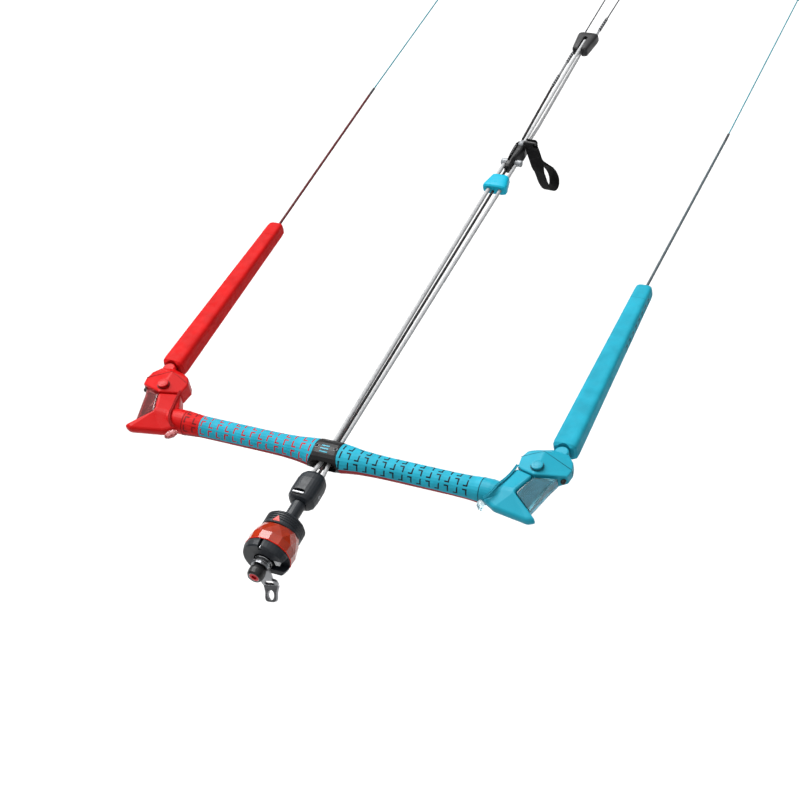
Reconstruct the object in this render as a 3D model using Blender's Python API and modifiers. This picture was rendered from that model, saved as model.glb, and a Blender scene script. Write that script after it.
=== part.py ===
"""Control bar of a kite: bar, floats, quick release, depower lines, trim and line ends.

Frame: metres, +Z up. The origin is the outer end of the harness stud, on the swivel axis. +Y runs along
the lines towards the kite, +X runs along the bar towards its right-hand end.
Sizes are written in millimetres and turned into metres by MM.
"""
import math

import bpy
import bmesh
from mathutils import Vector

MM = 0.001
GAP = 0.3                    # clearance between pieces that touch

# Driving dimensions, in millimetres.
BAR_Y = 167.0                # bar axis, measured from the harness stud's outer end
GRIP_RADIUS = 11.7
GRIP_BORE = 8.4
CORE_RADIUS = 8.0
HUB_HALF_LENGTH = 13.6
HUB_HALF_DEPTH = 17.0        # along Y
HUB_HALF_HEIGHT = 14.0       # along Z
GUIDE_RADIUS = 12.3
GRIP_SPLIT_X = 151.0         # where the left grip changes colour
GRIP_END_X = 171.0
LINE_EXIT_X = 230.0          # outer lines' distance from the middle
FLOAT_BASE_Y = 236.8
FLOAT_END_Y = 486.0
FLOAT_HINGE_Y = 231.0
HUB_SCREW_X = 10.6
HUB_SCREW_Y = 165.2
LEADER_END_Y = 762.0
LINE_END_Y = 1092.0

# Colours of the materials.
CYAN = (0.04, 0.46, 0.64)
RED = (0.66, 0.03, 0.03)
BLACK = (0.02, 0.02, 0.022)
DARK_GREY = (0.045, 0.05, 0.06)
ORANGE = (0.85, 0.09, 0.02)
STEEL = (0.55, 0.56, 0.58)
CLEAR = (0.75, 0.85, 0.88)
LIGHT_GREY = (0.55, 0.56, 0.58)
LINE_BLUE = (0.09, 0.48, 0.56)


def clear_scene():
    for obj in list(bpy.data.objects):
        bpy.data.objects.remove(obj, do_unlink=True)


def make_collection(name):
    collection = bpy.data.collections.new(name)
    bpy.context.scene.collection.children.link(collection)
    return collection


clear_scene()
PARTS = make_collection("kite_control_bar")
CUTTERS = make_collection("cutters")


def material(name, colour, roughness, metallic=0.0):
    mat = bpy.data.materials.get(name)
    if mat is None:
        mat = bpy.data.materials.new(name)
        mat.use_nodes = True
        shader = mat.node_tree.nodes["Principled BSDF"]
        shader.inputs["Base Color"].default_value = (*colour, 1.0)
        shader.inputs["Roughness"].default_value = roughness
        shader.inputs["Metallic"].default_value = metallic
    return mat


def add_object(name, data, mat=None, collection=None):
    obj = bpy.data.objects.new(name, data)
    (collection or PARTS).objects.link(obj)
    if mat is not None:
        data.materials.append(mat)
    return obj


def shade(mesh):
    mesh.shade_smooth()
    mesh.set_sharp_from_angle(angle=math.radians(40))


# ---------------------------------------------------------------- shape tools
def loft(name, rings, mat=None, collection=None):
    """Closed solid through rings of equal point count, closed by a fan at each end."""
    mesh = bpy.data.meshes.new(name)
    bm = bmesh.new()
    rows = [[bm.verts.new(Vector(p) * MM) for p in ring] for ring in rings]
    count = len(rows[0])
    for low, high in zip(rows, rows[1:]):
        for i in range(count):
            j = (i + 1) % count
            bm.faces.new((low[i], low[j], high[j], high[i]))
    for row in (rows[0], rows[-1]):
        middle = bm.verts.new(sum((v.co for v in row), Vector()) / count)
        for i in range(count):
            bm.faces.new((row[i], row[(i + 1) % count], middle))
    bmesh.ops.recalc_face_normals(bm, faces=bm.faces)
    bm.to_mesh(mesh)
    bm.free()
    shade(mesh)
    return add_object(name, mesh, mat, collection)


def oval(half_a, half_b, power=2.0, count=24):
    """Points of a superellipse: power 2 is an ellipse, larger is closer to a rectangle."""
    points = []
    for i in range(count):
        angle = 2.0 * math.pi * i / count
        c, s = math.cos(angle), math.sin(angle)
        a = half_a * math.copysign(abs(c) ** (2.0 / power), c)
        b = half_b * math.copysign(abs(s) ** (2.0 / power), s)
        points.append((a, b))
    return points


def ring_y(y, half_x, half_z, x=0.0, z=0.0, power=2.0, count=24):
    return [(x + a, y, z + b) for a, b in oval(half_x, half_z, power, count)]


def ring_x(x, half_y, half_z, y=BAR_Y, z=0.0, power=2.0, count=24):
    return [(x, y + a, z + b) for a, b in oval(half_y, half_z, power, count)]


def turned(name, profile, mat=None, collection=None, steps=32, origin=(0.0, 0.0, 0.0), closed=False):
    """Turned solid about the Y axis through origin. profile: (radius, y), from the kite end down."""
    mesh = bpy.data.meshes.new(name)
    bm = bmesh.new()
    verts = [bm.verts.new((r * MM, 0.0, (y - origin[1]) * MM)) for r, y in profile]
    for a, b in zip(verts, verts[1:]):
        bm.edges.new((a, b))
    if closed:
        bm.edges.new((verts[-1], verts[0]))
    bm.to_mesh(mesh)
    bm.free()
    obj = add_object(name, mesh, mat, collection)
    obj.location = Vector(origin) * MM
    obj.rotation_euler = (math.radians(-90.0), 0.0, 0.0)
    screw = obj.modifiers.new("Screw", "SCREW")
    screw.axis = "Z"
    screw.steps = steps
    screw.render_steps = steps
    screw.use_merge_vertices = True
    screw.merge_threshold = 0.00001
    screw.use_smooth_shade = True
    return obj


def tube(name, points, radius, mat=None, collection=None, resolution=2):
    """Round rod or cord along points."""
    curve = bpy.data.curves.new(name, "CURVE")
    curve.dimensions = "3D"
    curve.bevel_depth = radius * MM
    curve.bevel_resolution = resolution
    curve.use_fill_caps = True
    spline = curve.splines.new("POLY")
    spline.points.add(len(points) - 1)
    for target, point in zip(spline.points, points):
        target.co = (*(Vector(point) * MM), 1.0)
    return add_object(name, curve, mat, collection)


def round_corners(corners, steps=4):
    """Outline with arcs in place of corners. corners: (x, y, radius)."""
    outline = []
    count = len(corners)
    for i, (x, y, radius) in enumerate(corners):
        here = Vector((x, y))
        to_last = Vector(corners[i - 1][:2]) - here
        to_next = Vector(corners[(i + 1) % count][:2]) - here
        if radius <= 0.0:
            outline.append((x, y))
            continue
        half = to_last.angle(to_next) / 2.0
        reach = min(radius / math.tan(half), 0.45 * to_last.length, 0.45 * to_next.length)
        start = here + to_last.normalized() * reach
        end = here + to_next.normalized() * reach
        for k in range(steps + 1):
            t = k / steps
            point = start * (1 - t) ** 2 + here * 2 * t * (1 - t) + end * t ** 2
            outline.append((point.x, point.y))
    return outline


def plate(name, outline, half, mat=None, collection=None, z=0.0, edge=0.0, segments=2):
    """Flat solid of an outline in XY, from z - half to z + half, its rims rounded by edge."""
    curve = bpy.data.curves.new(name, "CURVE")
    curve.dimensions = "2D"
    curve.fill_mode = "BOTH"
    curve.extrude = half * MM
    spline = curve.splines.new("POLY")
    spline.points.add(len(outline) - 1)
    for target, (x, y) in zip(spline.points, outline):
        target.co = (x * MM, y * MM, 0.0, 1.0)
    spline.use_cyclic_u = True
    obj = add_object(name, curve, mat, collection)
    obj.location.z = z * MM
    obj = to_mesh(obj)
    if edge > 0.0:
        bevel = obj.modifiers.new("Bevel", "BEVEL")
        bevel.width = edge * MM
        bevel.segments = segments
        bevel.limit_method = "ANGLE"
        bevel.angle_limit = math.radians(50)
    return obj


def to_mesh(obj):
    """Welded mesh object in place of a curve object or of an object with modifiers."""
    bpy.context.view_layer.update()
    graph = bpy.context.evaluated_depsgraph_get()
    mesh = bpy.data.meshes.new_from_object(obj.evaluated_get(graph))
    bm = bmesh.new()
    bm.from_mesh(mesh)
    bmesh.ops.remove_doubles(bm, verts=bm.verts, dist=0.00001)
    bmesh.ops.recalc_face_normals(bm, faces=bm.faces)
    bm.to_mesh(mesh)
    bm.free()
    name, matrix, collection = obj.name, obj.matrix_world.copy(), obj.users_collection[0]
    bpy.data.objects.remove(obj, do_unlink=True)
    mesh.name = name
    shade(mesh)
    new = bpy.data.objects.new(name, mesh)
    collection.objects.link(new)
    new.matrix_world = matrix
    return new


def combine(obj, other, operation):
    modifier = obj.modifiers.new(operation.title(), "BOOLEAN")
    modifier.operation = operation
    modifier.solver = "EXACT"
    modifier.object = other
    other.hide_render = True
    other.display_type = "WIRE"
    return obj


def cut(obj, *cutters):
    for cutter in cutters:
        combine(obj, cutter, "DIFFERENCE")
    return obj


def join(obj, *others):
    for other in others:
        combine(obj, other, "UNION")
    return obj


def rod(name, start, end, radius, mat=None, collection=None, steps=24):
    """Straight round solid between two points, as a mesh."""
    start, end = Vector(start), Vector(end)
    mesh = bpy.data.meshes.new(name)
    bm = bmesh.new()
    bmesh.ops.create_cone(bm, cap_ends=True, segments=steps, radius1=radius * MM, radius2=radius * MM,
                          depth=(end - start).length * MM)
    bm.to_mesh(mesh)
    bm.free()
    shade(mesh)
    obj = add_object(name, mesh, mat, collection)
    obj.location = (start + end) / 2.0 * MM
    obj.rotation_mode = "QUATERNION"
    obj.rotation_quaternion = (end - start).to_track_quat("Z", "Y")
    return obj


def box(name, low, high, mat=None, collection=None, edge=0.0):
    low, high = Vector(low), Vector(high)
    mesh = bpy.data.meshes.new(name)
    bm = bmesh.new()
    bmesh.ops.create_cube(bm, size=1.0)
    bmesh.ops.scale(bm, vec=(high - low) * MM, verts=bm.verts)
    bm.to_mesh(mesh)
    bm.free()
    obj = add_object(name, mesh, mat, collection)
    obj.location = (low + high) / 2.0 * MM
    if edge > 0.0:
        bevel = obj.modifiers.new("Bevel", "BEVEL")
        bevel.width = edge * MM
        bevel.segments = 2
    return obj


def set_origin(obj, point):
    """Moves a mesh object's origin to point without moving its shape."""
    bpy.context.view_layer.update()
    shift = Vector(point) * MM - obj.matrix_world.translation
    local = obj.matrix_world.to_3x3().inverted() @ shift
    for vert in obj.data.vertices:
        vert.co -= local
    obj.location = obj.location + shift
    return obj


# ---------------------------------------------------------------- quick release
def build_stud():
    """Stud that the harness side carries: shaft with collar, ball, screw, washer and leash plate."""
    steel = material("steel", STEEL, 0.25, 1.0)
    rubber = material("rubber_black", BLACK, 0.6)
    shaft = [(0.0, 44.0), (3.2, 44.0), (4.3, 41.0), (4.3, 37.0), (3.2, 35.5), (3.2, 32.0), (4.5, 30.5),
             (4.5, 22.2), (9.4, 22.2), (9.6, 21.8), (9.6, 20.0), (9.4, 19.6), (4.5, 19.6), (4.5, 4.0),
             (0.0, 4.0)]
    turned("stud_shaft", shaft, steel, steps=28)
    ball = [(4.8, 12.0), (6.4, 12.0), (7.9, 10.2), (8.6, 7.5), (8.6, 4.5), (8.0, 1.6), (6.8, 0.0),
            (5.7, 0.0), (5.7, 3.2), (4.8, 3.2)]
    turned("stud_ball", ball, rubber, steps=28, closed=True)
    screw = turned("stud_screw", [(0.0, 2.9), (5.4, 2.9), (5.4, 0.4), (0.0, 0.4)],
                   material("screw_red", RED, 0.35), steps=24)
    cut(screw, rod("screw_socket", (0, -1, 0), (0, 1.8, 0), 3.0, collection=CUTTERS, steps=6))
    washer = [(4.8, 19.2), (9.2, 19.2), (9.5, 18.9), (9.5, 16.3), (9.2, 16.0), (4.8, 16.0)]
    turned("stud_washer", washer, steel, steps=28, closed=True)


def build_leash_plate():
    """Bent steel plate that turns on the stud: eye, slot and oval leash hole."""
    steel = material("steel_satin", STEEL, 0.35, 1.0)
    half = 1.4
    eye = [(9.5 * math.cos(a), 9.5 * math.sin(a)) for a in
           [math.radians(-10 + 200 * k / 12) for k in range(13)]]
    outline = eye + round_corners([(-9.9, -18.0, 4), (-9.0, -27.0, 4), (9.0, -27.0, 4), (9.9, -18.0, 4)])
    upper = plate("leash_plate", outline, half, steel)
    tongue = round_corners([(-9.0, 0.0, 0), (-6.9, -7.0, 5), (-6.9, -16.5, 8), (6.9, -16.5, 8),
                            (6.9, -7.0, 5), (9.0, 0.0, 0)], steps=6)
    lower = plate("leash_tongue", tongue, half, collection=CUTTERS)
    # The tongue is bent about the plate's lower edge, towards the stud's outer end.
    lower.location = (0.0, -26.0 * MM, 0.0)
    lower.rotation_euler = (math.radians(-42.0), 0.0, 0.0)
    eye_hole = rod("leash_eye_hole", (0, 0, -5), (0, 0, 5), 5.2, collection=CUTTERS)
    slot_outline = round_corners([(-5.8, -24.5, 1), (5.8, -24.5, 1), (5.8, -18.5, 1), (-5.8, -18.5, 1)])
    slot = plate("leash_slot_cutter", slot_outline, 5.0, collection=CUTTERS)
    hole_outline = [(4.2 * math.cos(a), -9.9 + 5.1 * math.sin(a)) for a in
                    [2 * math.pi * k / 20 for k in range(20)]]
    hole = plate("leash_hole_cutter", hole_outline, 5.0, collection=CUTTERS)
    hole.location = (0.0, -26.0 * MM, 0.0)
    hole.rotation_euler = (math.radians(-42.0), 0.0, 0.0)
    bpy.context.view_layer.update()
    join(upper, lower)
    cut(upper, eye_hole, slot, hole)
    upper = to_mesh(upper)
    # Stood across the swivel axis: the plate's own -Y hangs down, turned a little about the axis.
    upper.rotation_euler = (math.radians(90.0), math.radians(-14.0), 0.0)
    upper.location = (0.0, 13.9 * MM, 0.0)


def build_release():
    """Housing, sliding sleeve with its ring, return spring, latch, cross pin and neck."""
    dark = material("release_grey", DARK_GREY, 0.45)
    housing = [(6.6, 50.0), (17.5, 50.0), (19.0, 34.0), (24.4, 29.6), (24.9, 27.0), (23.6, 22.4),
               (22.4, 21.0), (11.0, 21.0), (11.0, 25.0), (6.6, 27.0)]
    body = turned("release_housing", housing, dark, steps=40, closed=True)
    latch_cut = box("housing_latch_slot", (8.0, 15.0, -9.0), (30.0, 29.0, 5.6), collection=CUTTERS)
    pin_cut = box("housing_pin_slot", (-1.7, 15.0, 17.6), (1.7, 33.0, 30.0), collection=CUTTERS)
    under_cut = box("housing_flat", (-30.0, 15.0, -30.0), (30.0, 40.0, -16.0), collection=CUTTERS)
    cut(body, latch_cut, pin_cut, under_cut)
    steel = material("steel", STEEL, 0.25, 1.0)
    pin = rod("housing_pin", (0.0, 22.0, 19.6), (0.0, 32.4, 19.6), 1.3, steel)
    set_origin(pin, (0.0, 27.2, 19.6))
    latch = box("latch_bolt", (12.0, 22.2, -1.6), (17.2, 27.6, 3.6), steel, edge=0.5)
    latch.rotation_euler = (0.0, math.radians(-8.0), 0.0)
    sleeve = [(7.8, 74.0), (13.0, 74.0), (19.0, 71.5), (21.2, 69.0)]
    rib_start, rib_pitch, ribs = 68.4, 2.6, 4
    for i in range(ribs):
        y = rib_start - rib_pitch * i
        sleeve += [(21.2, y), (20.4, y - 0.7), (20.4, y - 1.5), (21.2, y - 2.1)]
    sleeve += [(21.2, 56.6), (20.6, 55.4), (18.6, 55.4), (18.6, 66.4), (12.0, 69.9), (7.8, 69.9)]
    turned("release_sleeve", sleeve, dark, steps=40, closed=True)
    ring = [(18.2, 66.0), (18.2, 55.1), (20.9, 55.1), (24.0, 45.0), (25.3, 37.0), (24.6, 30.4),
            (23.9, 30.4), (20.3, 33.6), (19.6, 42.0), (18.0, 51.5), (7.6, 51.5), (7.6, 53.5), (10.8, 53.5),
            (10.8, 66.0)]
    ring = turned("release_ring", ring, material("orange_clear", ORANGE, 0.15), steps=40, closed=True)
    cut(ring, box("ring_flat", (-30.0, 20.0, -30.0), (30.0, 60.0, -21.4), collection=CUTTERS))
    turns, wire, per_turn = 4, 0.6, 14
    bottom, top, radius = 54.3, 66.2, 8.9
    points = []
    for i in range(turns * per_turn + 1):
        angle = 2.0 * math.pi * i / per_turn
        y = bottom + (top - bottom) * i / (turns * per_turn)
        points.append((radius * math.cos(angle), y, radius * math.sin(angle)))
    tube("release_spring", points, wire, steel, resolution=0)
    # The spring bears on the neck's collar and pushes the ring and sleeve back.
    neck = [(0.0, 103.6), (6.4, 103.6), (7.2, 102.4), (7.2, 69.6), (10.0, 69.6), (10.0, 67.0), (7.0, 67.0),
            (6.2, 60.0), (6.2, 48.0), (0.0, 48.0)]
    turned("neck_shaft", neck, dark, steps=24)


def build_swivel():
    """Swivel body that the depower lines end in, its pin, its screw and the lines' sockets."""
    dark = material("release_grey", DARK_GREY, 0.45)
    steel = material("steel", STEEL, 0.25, 1.0)
    stations = [(97.9, 9.0, 8.4), (99.5, 12.0, 11.0), (103.0, 14.4, 13.2), (110.0, 15.2, 13.8),
                (124.0, 15.2, 13.4), (131.0, 14.0, 12.2), (135.0, 11.4, 9.8), (136.6, 8.6, 7.0)]
    body = loft("swivel_body", [ring_y(y, a, b, power=2.4, count=28) for y, a, b in stations], dark)
    sockets = []
    for name, x, radius in (("left", -6.4, 2.7), ("middle", 0.6, 1.8), ("right", 7.0, 2.4)):
        sockets.append(rod("socket_" + name, (x, 124.0, 0.0), (x, 140.0, 0.0), radius, collection=CUTTERS))
    neck_bore = rod("neck_bore", (0, 96.0, 0), (0, 104.0, 0), 7.5, collection=CUTTERS)
    window = plate("swivel_window", round_corners([(-8.2, 101.0, 2.6), (5.4, 101.0, 2.6),
                                                   (5.4, 107.6, 2.6), (-8.2, 107.6, 2.6)]),
                   4.4, collection=CUTTERS, z=13.2)
    cut(body, neck_bore, window, *sockets)
    pin = rod("swivel_pin", (-7.6, 104.2, 10.9), (4.8, 104.2, 10.9), 1.8, steel)
    set_origin(pin, (-1.4, 104.2, 10.9))


# ---------------------------------------------------------------- bar
def seam_flare(y, z):
    """How far the hub's edge reaches outwards: nothing on top, most at its lower rider side."""
    down = 0.72 * (BAR_Y - y) / HUB_HALF_DEPTH - 0.40 * z / HUB_HALF_HEIGHT
    return 7.5 * max(0.0, down) ** 1.6


def seam_ring(side, x, half_y, half_z, count=24):
    """Ring across the bar whose points follow the hub's curved edge."""
    return [(side * (x + seam_flare(BAR_Y + a, b)), BAR_Y + a, b)
            for a, b in oval(half_y, half_z, count=count)]


def build_hub():
    black = material("hub_black", BLACK, 0.5)
    edge = (HUB_HALF_LENGTH, HUB_HALF_DEPTH - 0.6, HUB_HALF_HEIGHT - 0.6)
    rings = [seam_ring(-1, *edge)]
    rings += [ring_x(x, HUB_HALF_DEPTH, HUB_HALF_HEIGHT) for x in (-11.5, 11.5)]
    rings.append(seam_ring(1, *edge))
    hub = loft("hub_shell", rings, black)
    bore = rod("hub_bore", (0, BAR_Y, -8.0), (0, BAR_Y, 8.0), GUIDE_RADIUS + GAP, collection=CUTTERS,
               steps=32)
    mouth_stations = [(BAR_Y - 20.0, 17.5, 7.5), (BAR_Y - 9.0, 11.4, 5.4), (BAR_Y + 9.0, 11.4, 5.4),
                      (BAR_Y + 20.0, 12.6, 6.2)]
    mouth = loft("hub_mouth", [ring_y(y, a, b, power=3.0) for y, a, b in mouth_stations],
                 collection=CUTTERS)
    cut(hub, bore, mouth)
    for side, word in ((-1, "left"), (1, "right")):
        x, y = side * HUB_SCREW_X, HUB_SCREW_Y
        hole = rod("hub_screw_hole_" + word, (x, y, 11.3), (x, y, 16.0), 2.3, collection=CUTTERS)
        cut(hub, hole)
        screw = rod("hub_screw_" + word, (x, y, 11.6), (x, y, 13.4), 2.0,
                    material("steel", STEEL, 0.25, 1.0))
        cut(screw, rod("hub_screw_socket_" + word, (x, y, 12.5), (x, y, 15.0), 1.0, collection=CUTTERS,
                       steps=6))
    guide = rod("line_guide", (0, BAR_Y, -7.6), (0, BAR_Y, 7.6), GUIDE_RADIUS,
                material("guide_steel", STEEL, 0.2, 1.0), steps=32)
    set_origin(guide, (0.0, BAR_Y, 0.0))
    opening = loft("guide_opening", [ring_y(BAR_Y + y, 10.4, 3.6, power=3.0) for y in (-15.0, 15.0)],
                   collection=CUTTERS)
    cut(guide, opening)


def grip(name, side, stations, mat, follow_hub=False):
    """Hollow grip over the core tube. stations: (x, half depth, half height) outwards."""
    first = stations[0]
    rings = [seam_ring(side, *first)] if follow_hub else [ring_x(side * first[0], *first[1:])]
    rings += [ring_x(side * x, a, b) for x, a, b in stations[1:]]
    obj = loft(name, rings, mat)
    bore = rod(name + "_bore", (side * 10.0, BAR_Y, 0), (side * 175.0, BAR_Y, 0), GRIP_BORE,
               collection=CUTTERS)
    return cut(obj, bore)


def build_grips():
    start = HUB_HALF_LENGTH + GAP
    near_hub = [(start, 16.4, 13.4), (24.0, 15.2, 13.0), (36.0, 13.2, 12.4), (52.0, 12.1, 11.9),
                (70.0, GRIP_RADIUS, GRIP_RADIUS)]
    cyan = material("grip_cyan", CYAN, 0.75)
    outer = [(158.0, 12.2, 12.2), (GRIP_END_X - GAP, 13.2, 13.2)]
    grip("grip_right", 1, near_hub + [(140.0, GRIP_RADIUS, GRIP_RADIUS), *outer], cyan, True)
    left_inner = near_hub + [(GRIP_SPLIT_X - GAP, GRIP_RADIUS, GRIP_RADIUS)]
    grip("grip_left_inner", -1, left_inner, cyan, True)
    left_outer = [(GRIP_SPLIT_X, GRIP_RADIUS, GRIP_RADIUS), *outer]
    grip("grip_left_outer", -1, left_outer, material("grip_red", RED, 0.75))
    for side, word in ((-1, "left"), (1, "right")):
        obj = rod("core_tube_" + word, (side * 22.5, BAR_Y, 0), (side * 186.0, BAR_Y, 0), CORE_RADIUS,
                  material("carbon", BLACK, 0.3))
        cut(obj, rod("core_bore_" + word, (side * 20.0, BAR_Y, 0), (side * 190.0, BAR_Y, 0), 6.4,
                     collection=CUTTERS))


# ---------------------------------------------------------------- bar ends
def slab(name, corners, faces=None, mat=None, collection=None, inner=0):
    """Solid that is the same above and below z = 0. corners: (x, y, height); faces: its upper faces.
    The last inner corners lie inside the outline, such as the top of a roof."""
    mesh = bpy.data.meshes.new(name)
    bm = bmesh.new()
    upper = [bm.verts.new(Vector(c) * MM) for c in corners]
    lower = [v if c[2] == 0.0 else bm.verts.new(Vector((c[0], c[1], -c[2])) * MM)
             for v, c in zip(upper, corners)]
    for face in faces or [range(len(corners))]:
        bm.faces.new([upper[i] for i in face])
        bm.faces.new([lower[i] for i in reversed(face)])
    rim = len(corners) - inner
    for i in range(rim):
        last = (i - 1) % rim
        wall = []
        for vert in (upper[last], upper[i], lower[i], lower[last]):
            if vert not in wall:
                wall.append(vert)
        if len(wall) > 2:
            bm.faces.new(wall)
    bmesh.ops.recalc_face_normals(bm, faces=bm.faces)
    bm.to_mesh(mesh)
    bm.free()
    shade(mesh)
    return add_object(name, mesh, mat, collection)


def mirrored(side, corners):
    """Right-hand corners, turned over for the left-hand end."""
    return [(side * x, y, z) for x, y, z in corners]


def soften(obj, width, segments=2):
    bevel = obj.modifiers.new("Bevel", "BEVEL")
    bevel.width = width * MM
    bevel.segments = segments
    bevel.limit_method = "ANGLE"
    bevel.angle_limit = math.radians(18)


# Corners shared by an end's pieces: (x, y, height).
HORN_ROOT = (207.3, 163.9, 15.3)
SEAM_OUT = (216.6, 188.6, 14.0)
SEAM_IN = (195.5, 198.0, 8.0)
HORN_TIP = (236.6, 143.6, 4.4)


def build_end(side, word, colour_name, colour):
    plastic = material(colour_name, colour, 0.35)
    frame_corners = [(173.0, 156.0, 3.6), (190.0, 146.2, 4.0), (229.0, 139.6, 3.8), HORN_TIP, HORN_ROOT,
                     SEAM_OUT, SEAM_IN, (186.0, 178.0, 8.8), (183.0, 167.0, 9.8)]
    frame_faces = [(0, 1, 8), (1, 4, 8), (1, 2, 4), (2, 3, 4), (8, 4, 5, 6, 7)]
    frame = slab("end_frame_" + word, mirrored(side, frame_corners), frame_faces, plastic)
    soften(frame, 3.2, 3)
    collar = loft("frame_collar_" + word, [ring_x(side * x, r, r, count=32) for x, r in
                                           ((GRIP_END_X + GAP, 12.9), (172.4, 13.3), (181.0, 13.3),
                                            (190.0, 12.0), (203.0, 9.6))], collection=CUTTERS)
    join(frame, collar)
    cut(frame, rod("frame_bore_" + word, (side * 165.0, BAR_Y, 0), (side * 186.4, BAR_Y, 0),
                   GRIP_BORE, collection=CUTTERS))
    build_cap(side, word, plastic)
    build_window(side, word)
    build_bungee(side, word, plastic)


def build_cap(side, word, plastic):
    """Cap between the horn piece and the float, with its round boss and its push button."""
    corners = [(216.9, 189.5, 14.0), (196.0, 198.9, 8.0), (194.3, 213.0, 8.1), (198.6, 220.8, 9.7),
               (206.0, 225.2, 8.6), (214.6, 227.4, 8.8), (222.0, 231.0, 7.2), (238.0, 230.0, 6.2),
               (246.0, 221.5, 5.4),
               (248.2, 212.0, 5.4), (246.8, 202.6, 5.4), (217.0, 220.2, 15.2)]
    faces = [(0, 1, 2, 3, 11), (3, 4, 11), (4, 5, 11), (5, 6, 11), (6, 7, 11), (7, 8, 11),
             (8, 9, 10, 0, 11)]
    cap = slab("end_cap_" + word, mirrored(side, corners), faces, plastic, inner=1)
    soften(cap, 1.3, 2)
    boss = loft("cap_boss_" + word, [
        [(side * LINE_EXIT_X + r * math.cos(t), FLOAT_HINGE_Y + r * math.sin(t), z)
         for t in [2.0 * math.pi * k / 28 for k in range(28)]]
        for z, r in ((-7.6, 5.8), (-7.0, 6.9), (-5.6, 7.5), (5.6, 7.5), (7.0, 6.9), (7.6, 5.8))],
        collection=CUTTERS)
    join(cap, boss)
    bore = rod("cap_line_bore_" + word, (side * LINE_EXIT_X, 218.0, 0), (side * LINE_EXIT_X, 242.0, 0),
               2.4, collection=CUTTERS)
    well = rod("cap_button_well_" + word, (side * 217.0, 200.5, 9.5), (side * 217.0, 200.5, 20.0), 6.4,
               collection=CUTTERS)
    cut(cap, bore, well)
    button = rod("end_button_" + word, (side * 217.0, 200.5, 12.3), (side * 217.0, 200.5, 16.8), 6.0,
                 plastic, steps=28)
    set_origin(button, (side * 217.0, 200.5, 14.6))


def build_window(side, word):
    """Clear line store between horn and cap, with the spare line wound inside it."""
    outer = [(208.7, 164.1, 13.0), (226.4, 151.7, 5.2), (234.4, 185.7, 7.0), (239.0, 197.0, 6.6),
             (217.3, 187.9, 12.0)]
    window = slab("end_window_" + word, mirrored(side, outer), mat=material("clear_plastic", CLEAR, 0.1))
    soften(window, 1.6)
    inner = [(204.0, 163.5, 13.0), (224.6, 155.0, 4.0), (232.2, 185.7, 5.6), (236.0, 193.6, 5.2),
             (214.0, 185.4, 10.6)]
    cut(window, slab("window_hollow_" + word, mirrored(side, inner), collection=CUTTERS))
    wound = [(209.9, 165.4, 9.8), (224.0, 156.2, 3.5), (231.4, 185.7, 5.0), (235.0, 192.6, 4.7),
             (217.4, 185.8, 9.4)]
    slab("line_winding_" + word, mirrored(side, wound), mat=material("wound_line", LINE_BLUE, 0.8))


def build_bungee(side, word, plastic):
    """Elastic loop from the cap's corner round the bar end, with its clear toggle."""
    route = [(196.0, 199.6, 10.6), (194.6, 190.0, 10.7), (192.8, 181.6, 11.4), (190.4, 174.0, 12.4),
             (188.6, 167.6, 13.9), (187.0, 162.0, 13.5), (184.8, 157.2, 11.8), (181.6, 153.8, 9.2),
             (178.6, 152.6, 7.4)]
    tube("bungee_" + word, [(side * x, y, z) for x, y, z in route], 1.1, plastic)
    stations = [(151.0, 2.4, 2.4), (148.4, 4.6, 4.0), (144.8, 5.2, 4.4), (141.2, 3.6, 3.2),
                (139.6, 1.8, 1.6)]
    rings = [ring_y(y, a, b, x=side * (176.0 + (151.0 - y) * 0.5), z=2.6, count=16)
             for y, a, b in stations]
    loft("toggle_" + word, rings, material("clear_plastic", CLEAR, 0.1))


# ---------------------------------------------------------------- floats and outer lines
def build_float(side, word, colour_name, colour):
    base_x, end_x = LINE_EXIT_X, LINE_EXIT_X - 1.6
    stations = [(0.0, 10.6, 8.6), (0.012, 12.6, 10.6), (0.03, 13.0, 11.0), (0.97, 9.4, 8.3),
                (0.99, 9.0, 7.9), (1.0, 7.6, 6.6)]
    length = FLOAT_END_Y - FLOAT_BASE_Y
    rings = []
    for share, a, b in stations:
        x = base_x + (end_x - base_x) * share
        rings.append(ring_y(FLOAT_BASE_Y + share * length, a, b, x=side * x, power=4.5, count=32))
    body = loft("float_" + word, rings, material(colour_name, colour, 0.65))
    route = [(side * base_x, FLOAT_HINGE_Y - 5.0, 0.0), (side * base_x, FLOAT_BASE_Y, 0.0),
             (side * end_x, FLOAT_END_Y, 0.0), (side * 234.0, LEADER_END_Y, 0.0)]
    bore = rod("float_bore_" + word, (side * base_x, FLOAT_BASE_Y - 2.0, 0.0),
               (side * end_x, FLOAT_END_Y + 2.0, 0.0), 2.3, collection=CUTTERS)
    fork = rod("float_fork_" + word, (side * base_x, FLOAT_HINGE_Y, -20.0),
               (side * base_x, FLOAT_HINGE_Y, 20.0), 8.6, collection=CUTTERS)
    cut(body, bore, fork)
    tube("leader_" + word, route, 1.5, material("leader_" + word, LIGHT_GREY, 0.8))
    build_line_with_loop("steering_line_" + word, (side * 234.0, LEADER_END_Y + GAP),
                         (side * 236.0, LINE_END_Y), 0.8, material("line_cyan", LINE_BLUE, 0.7))


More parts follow.
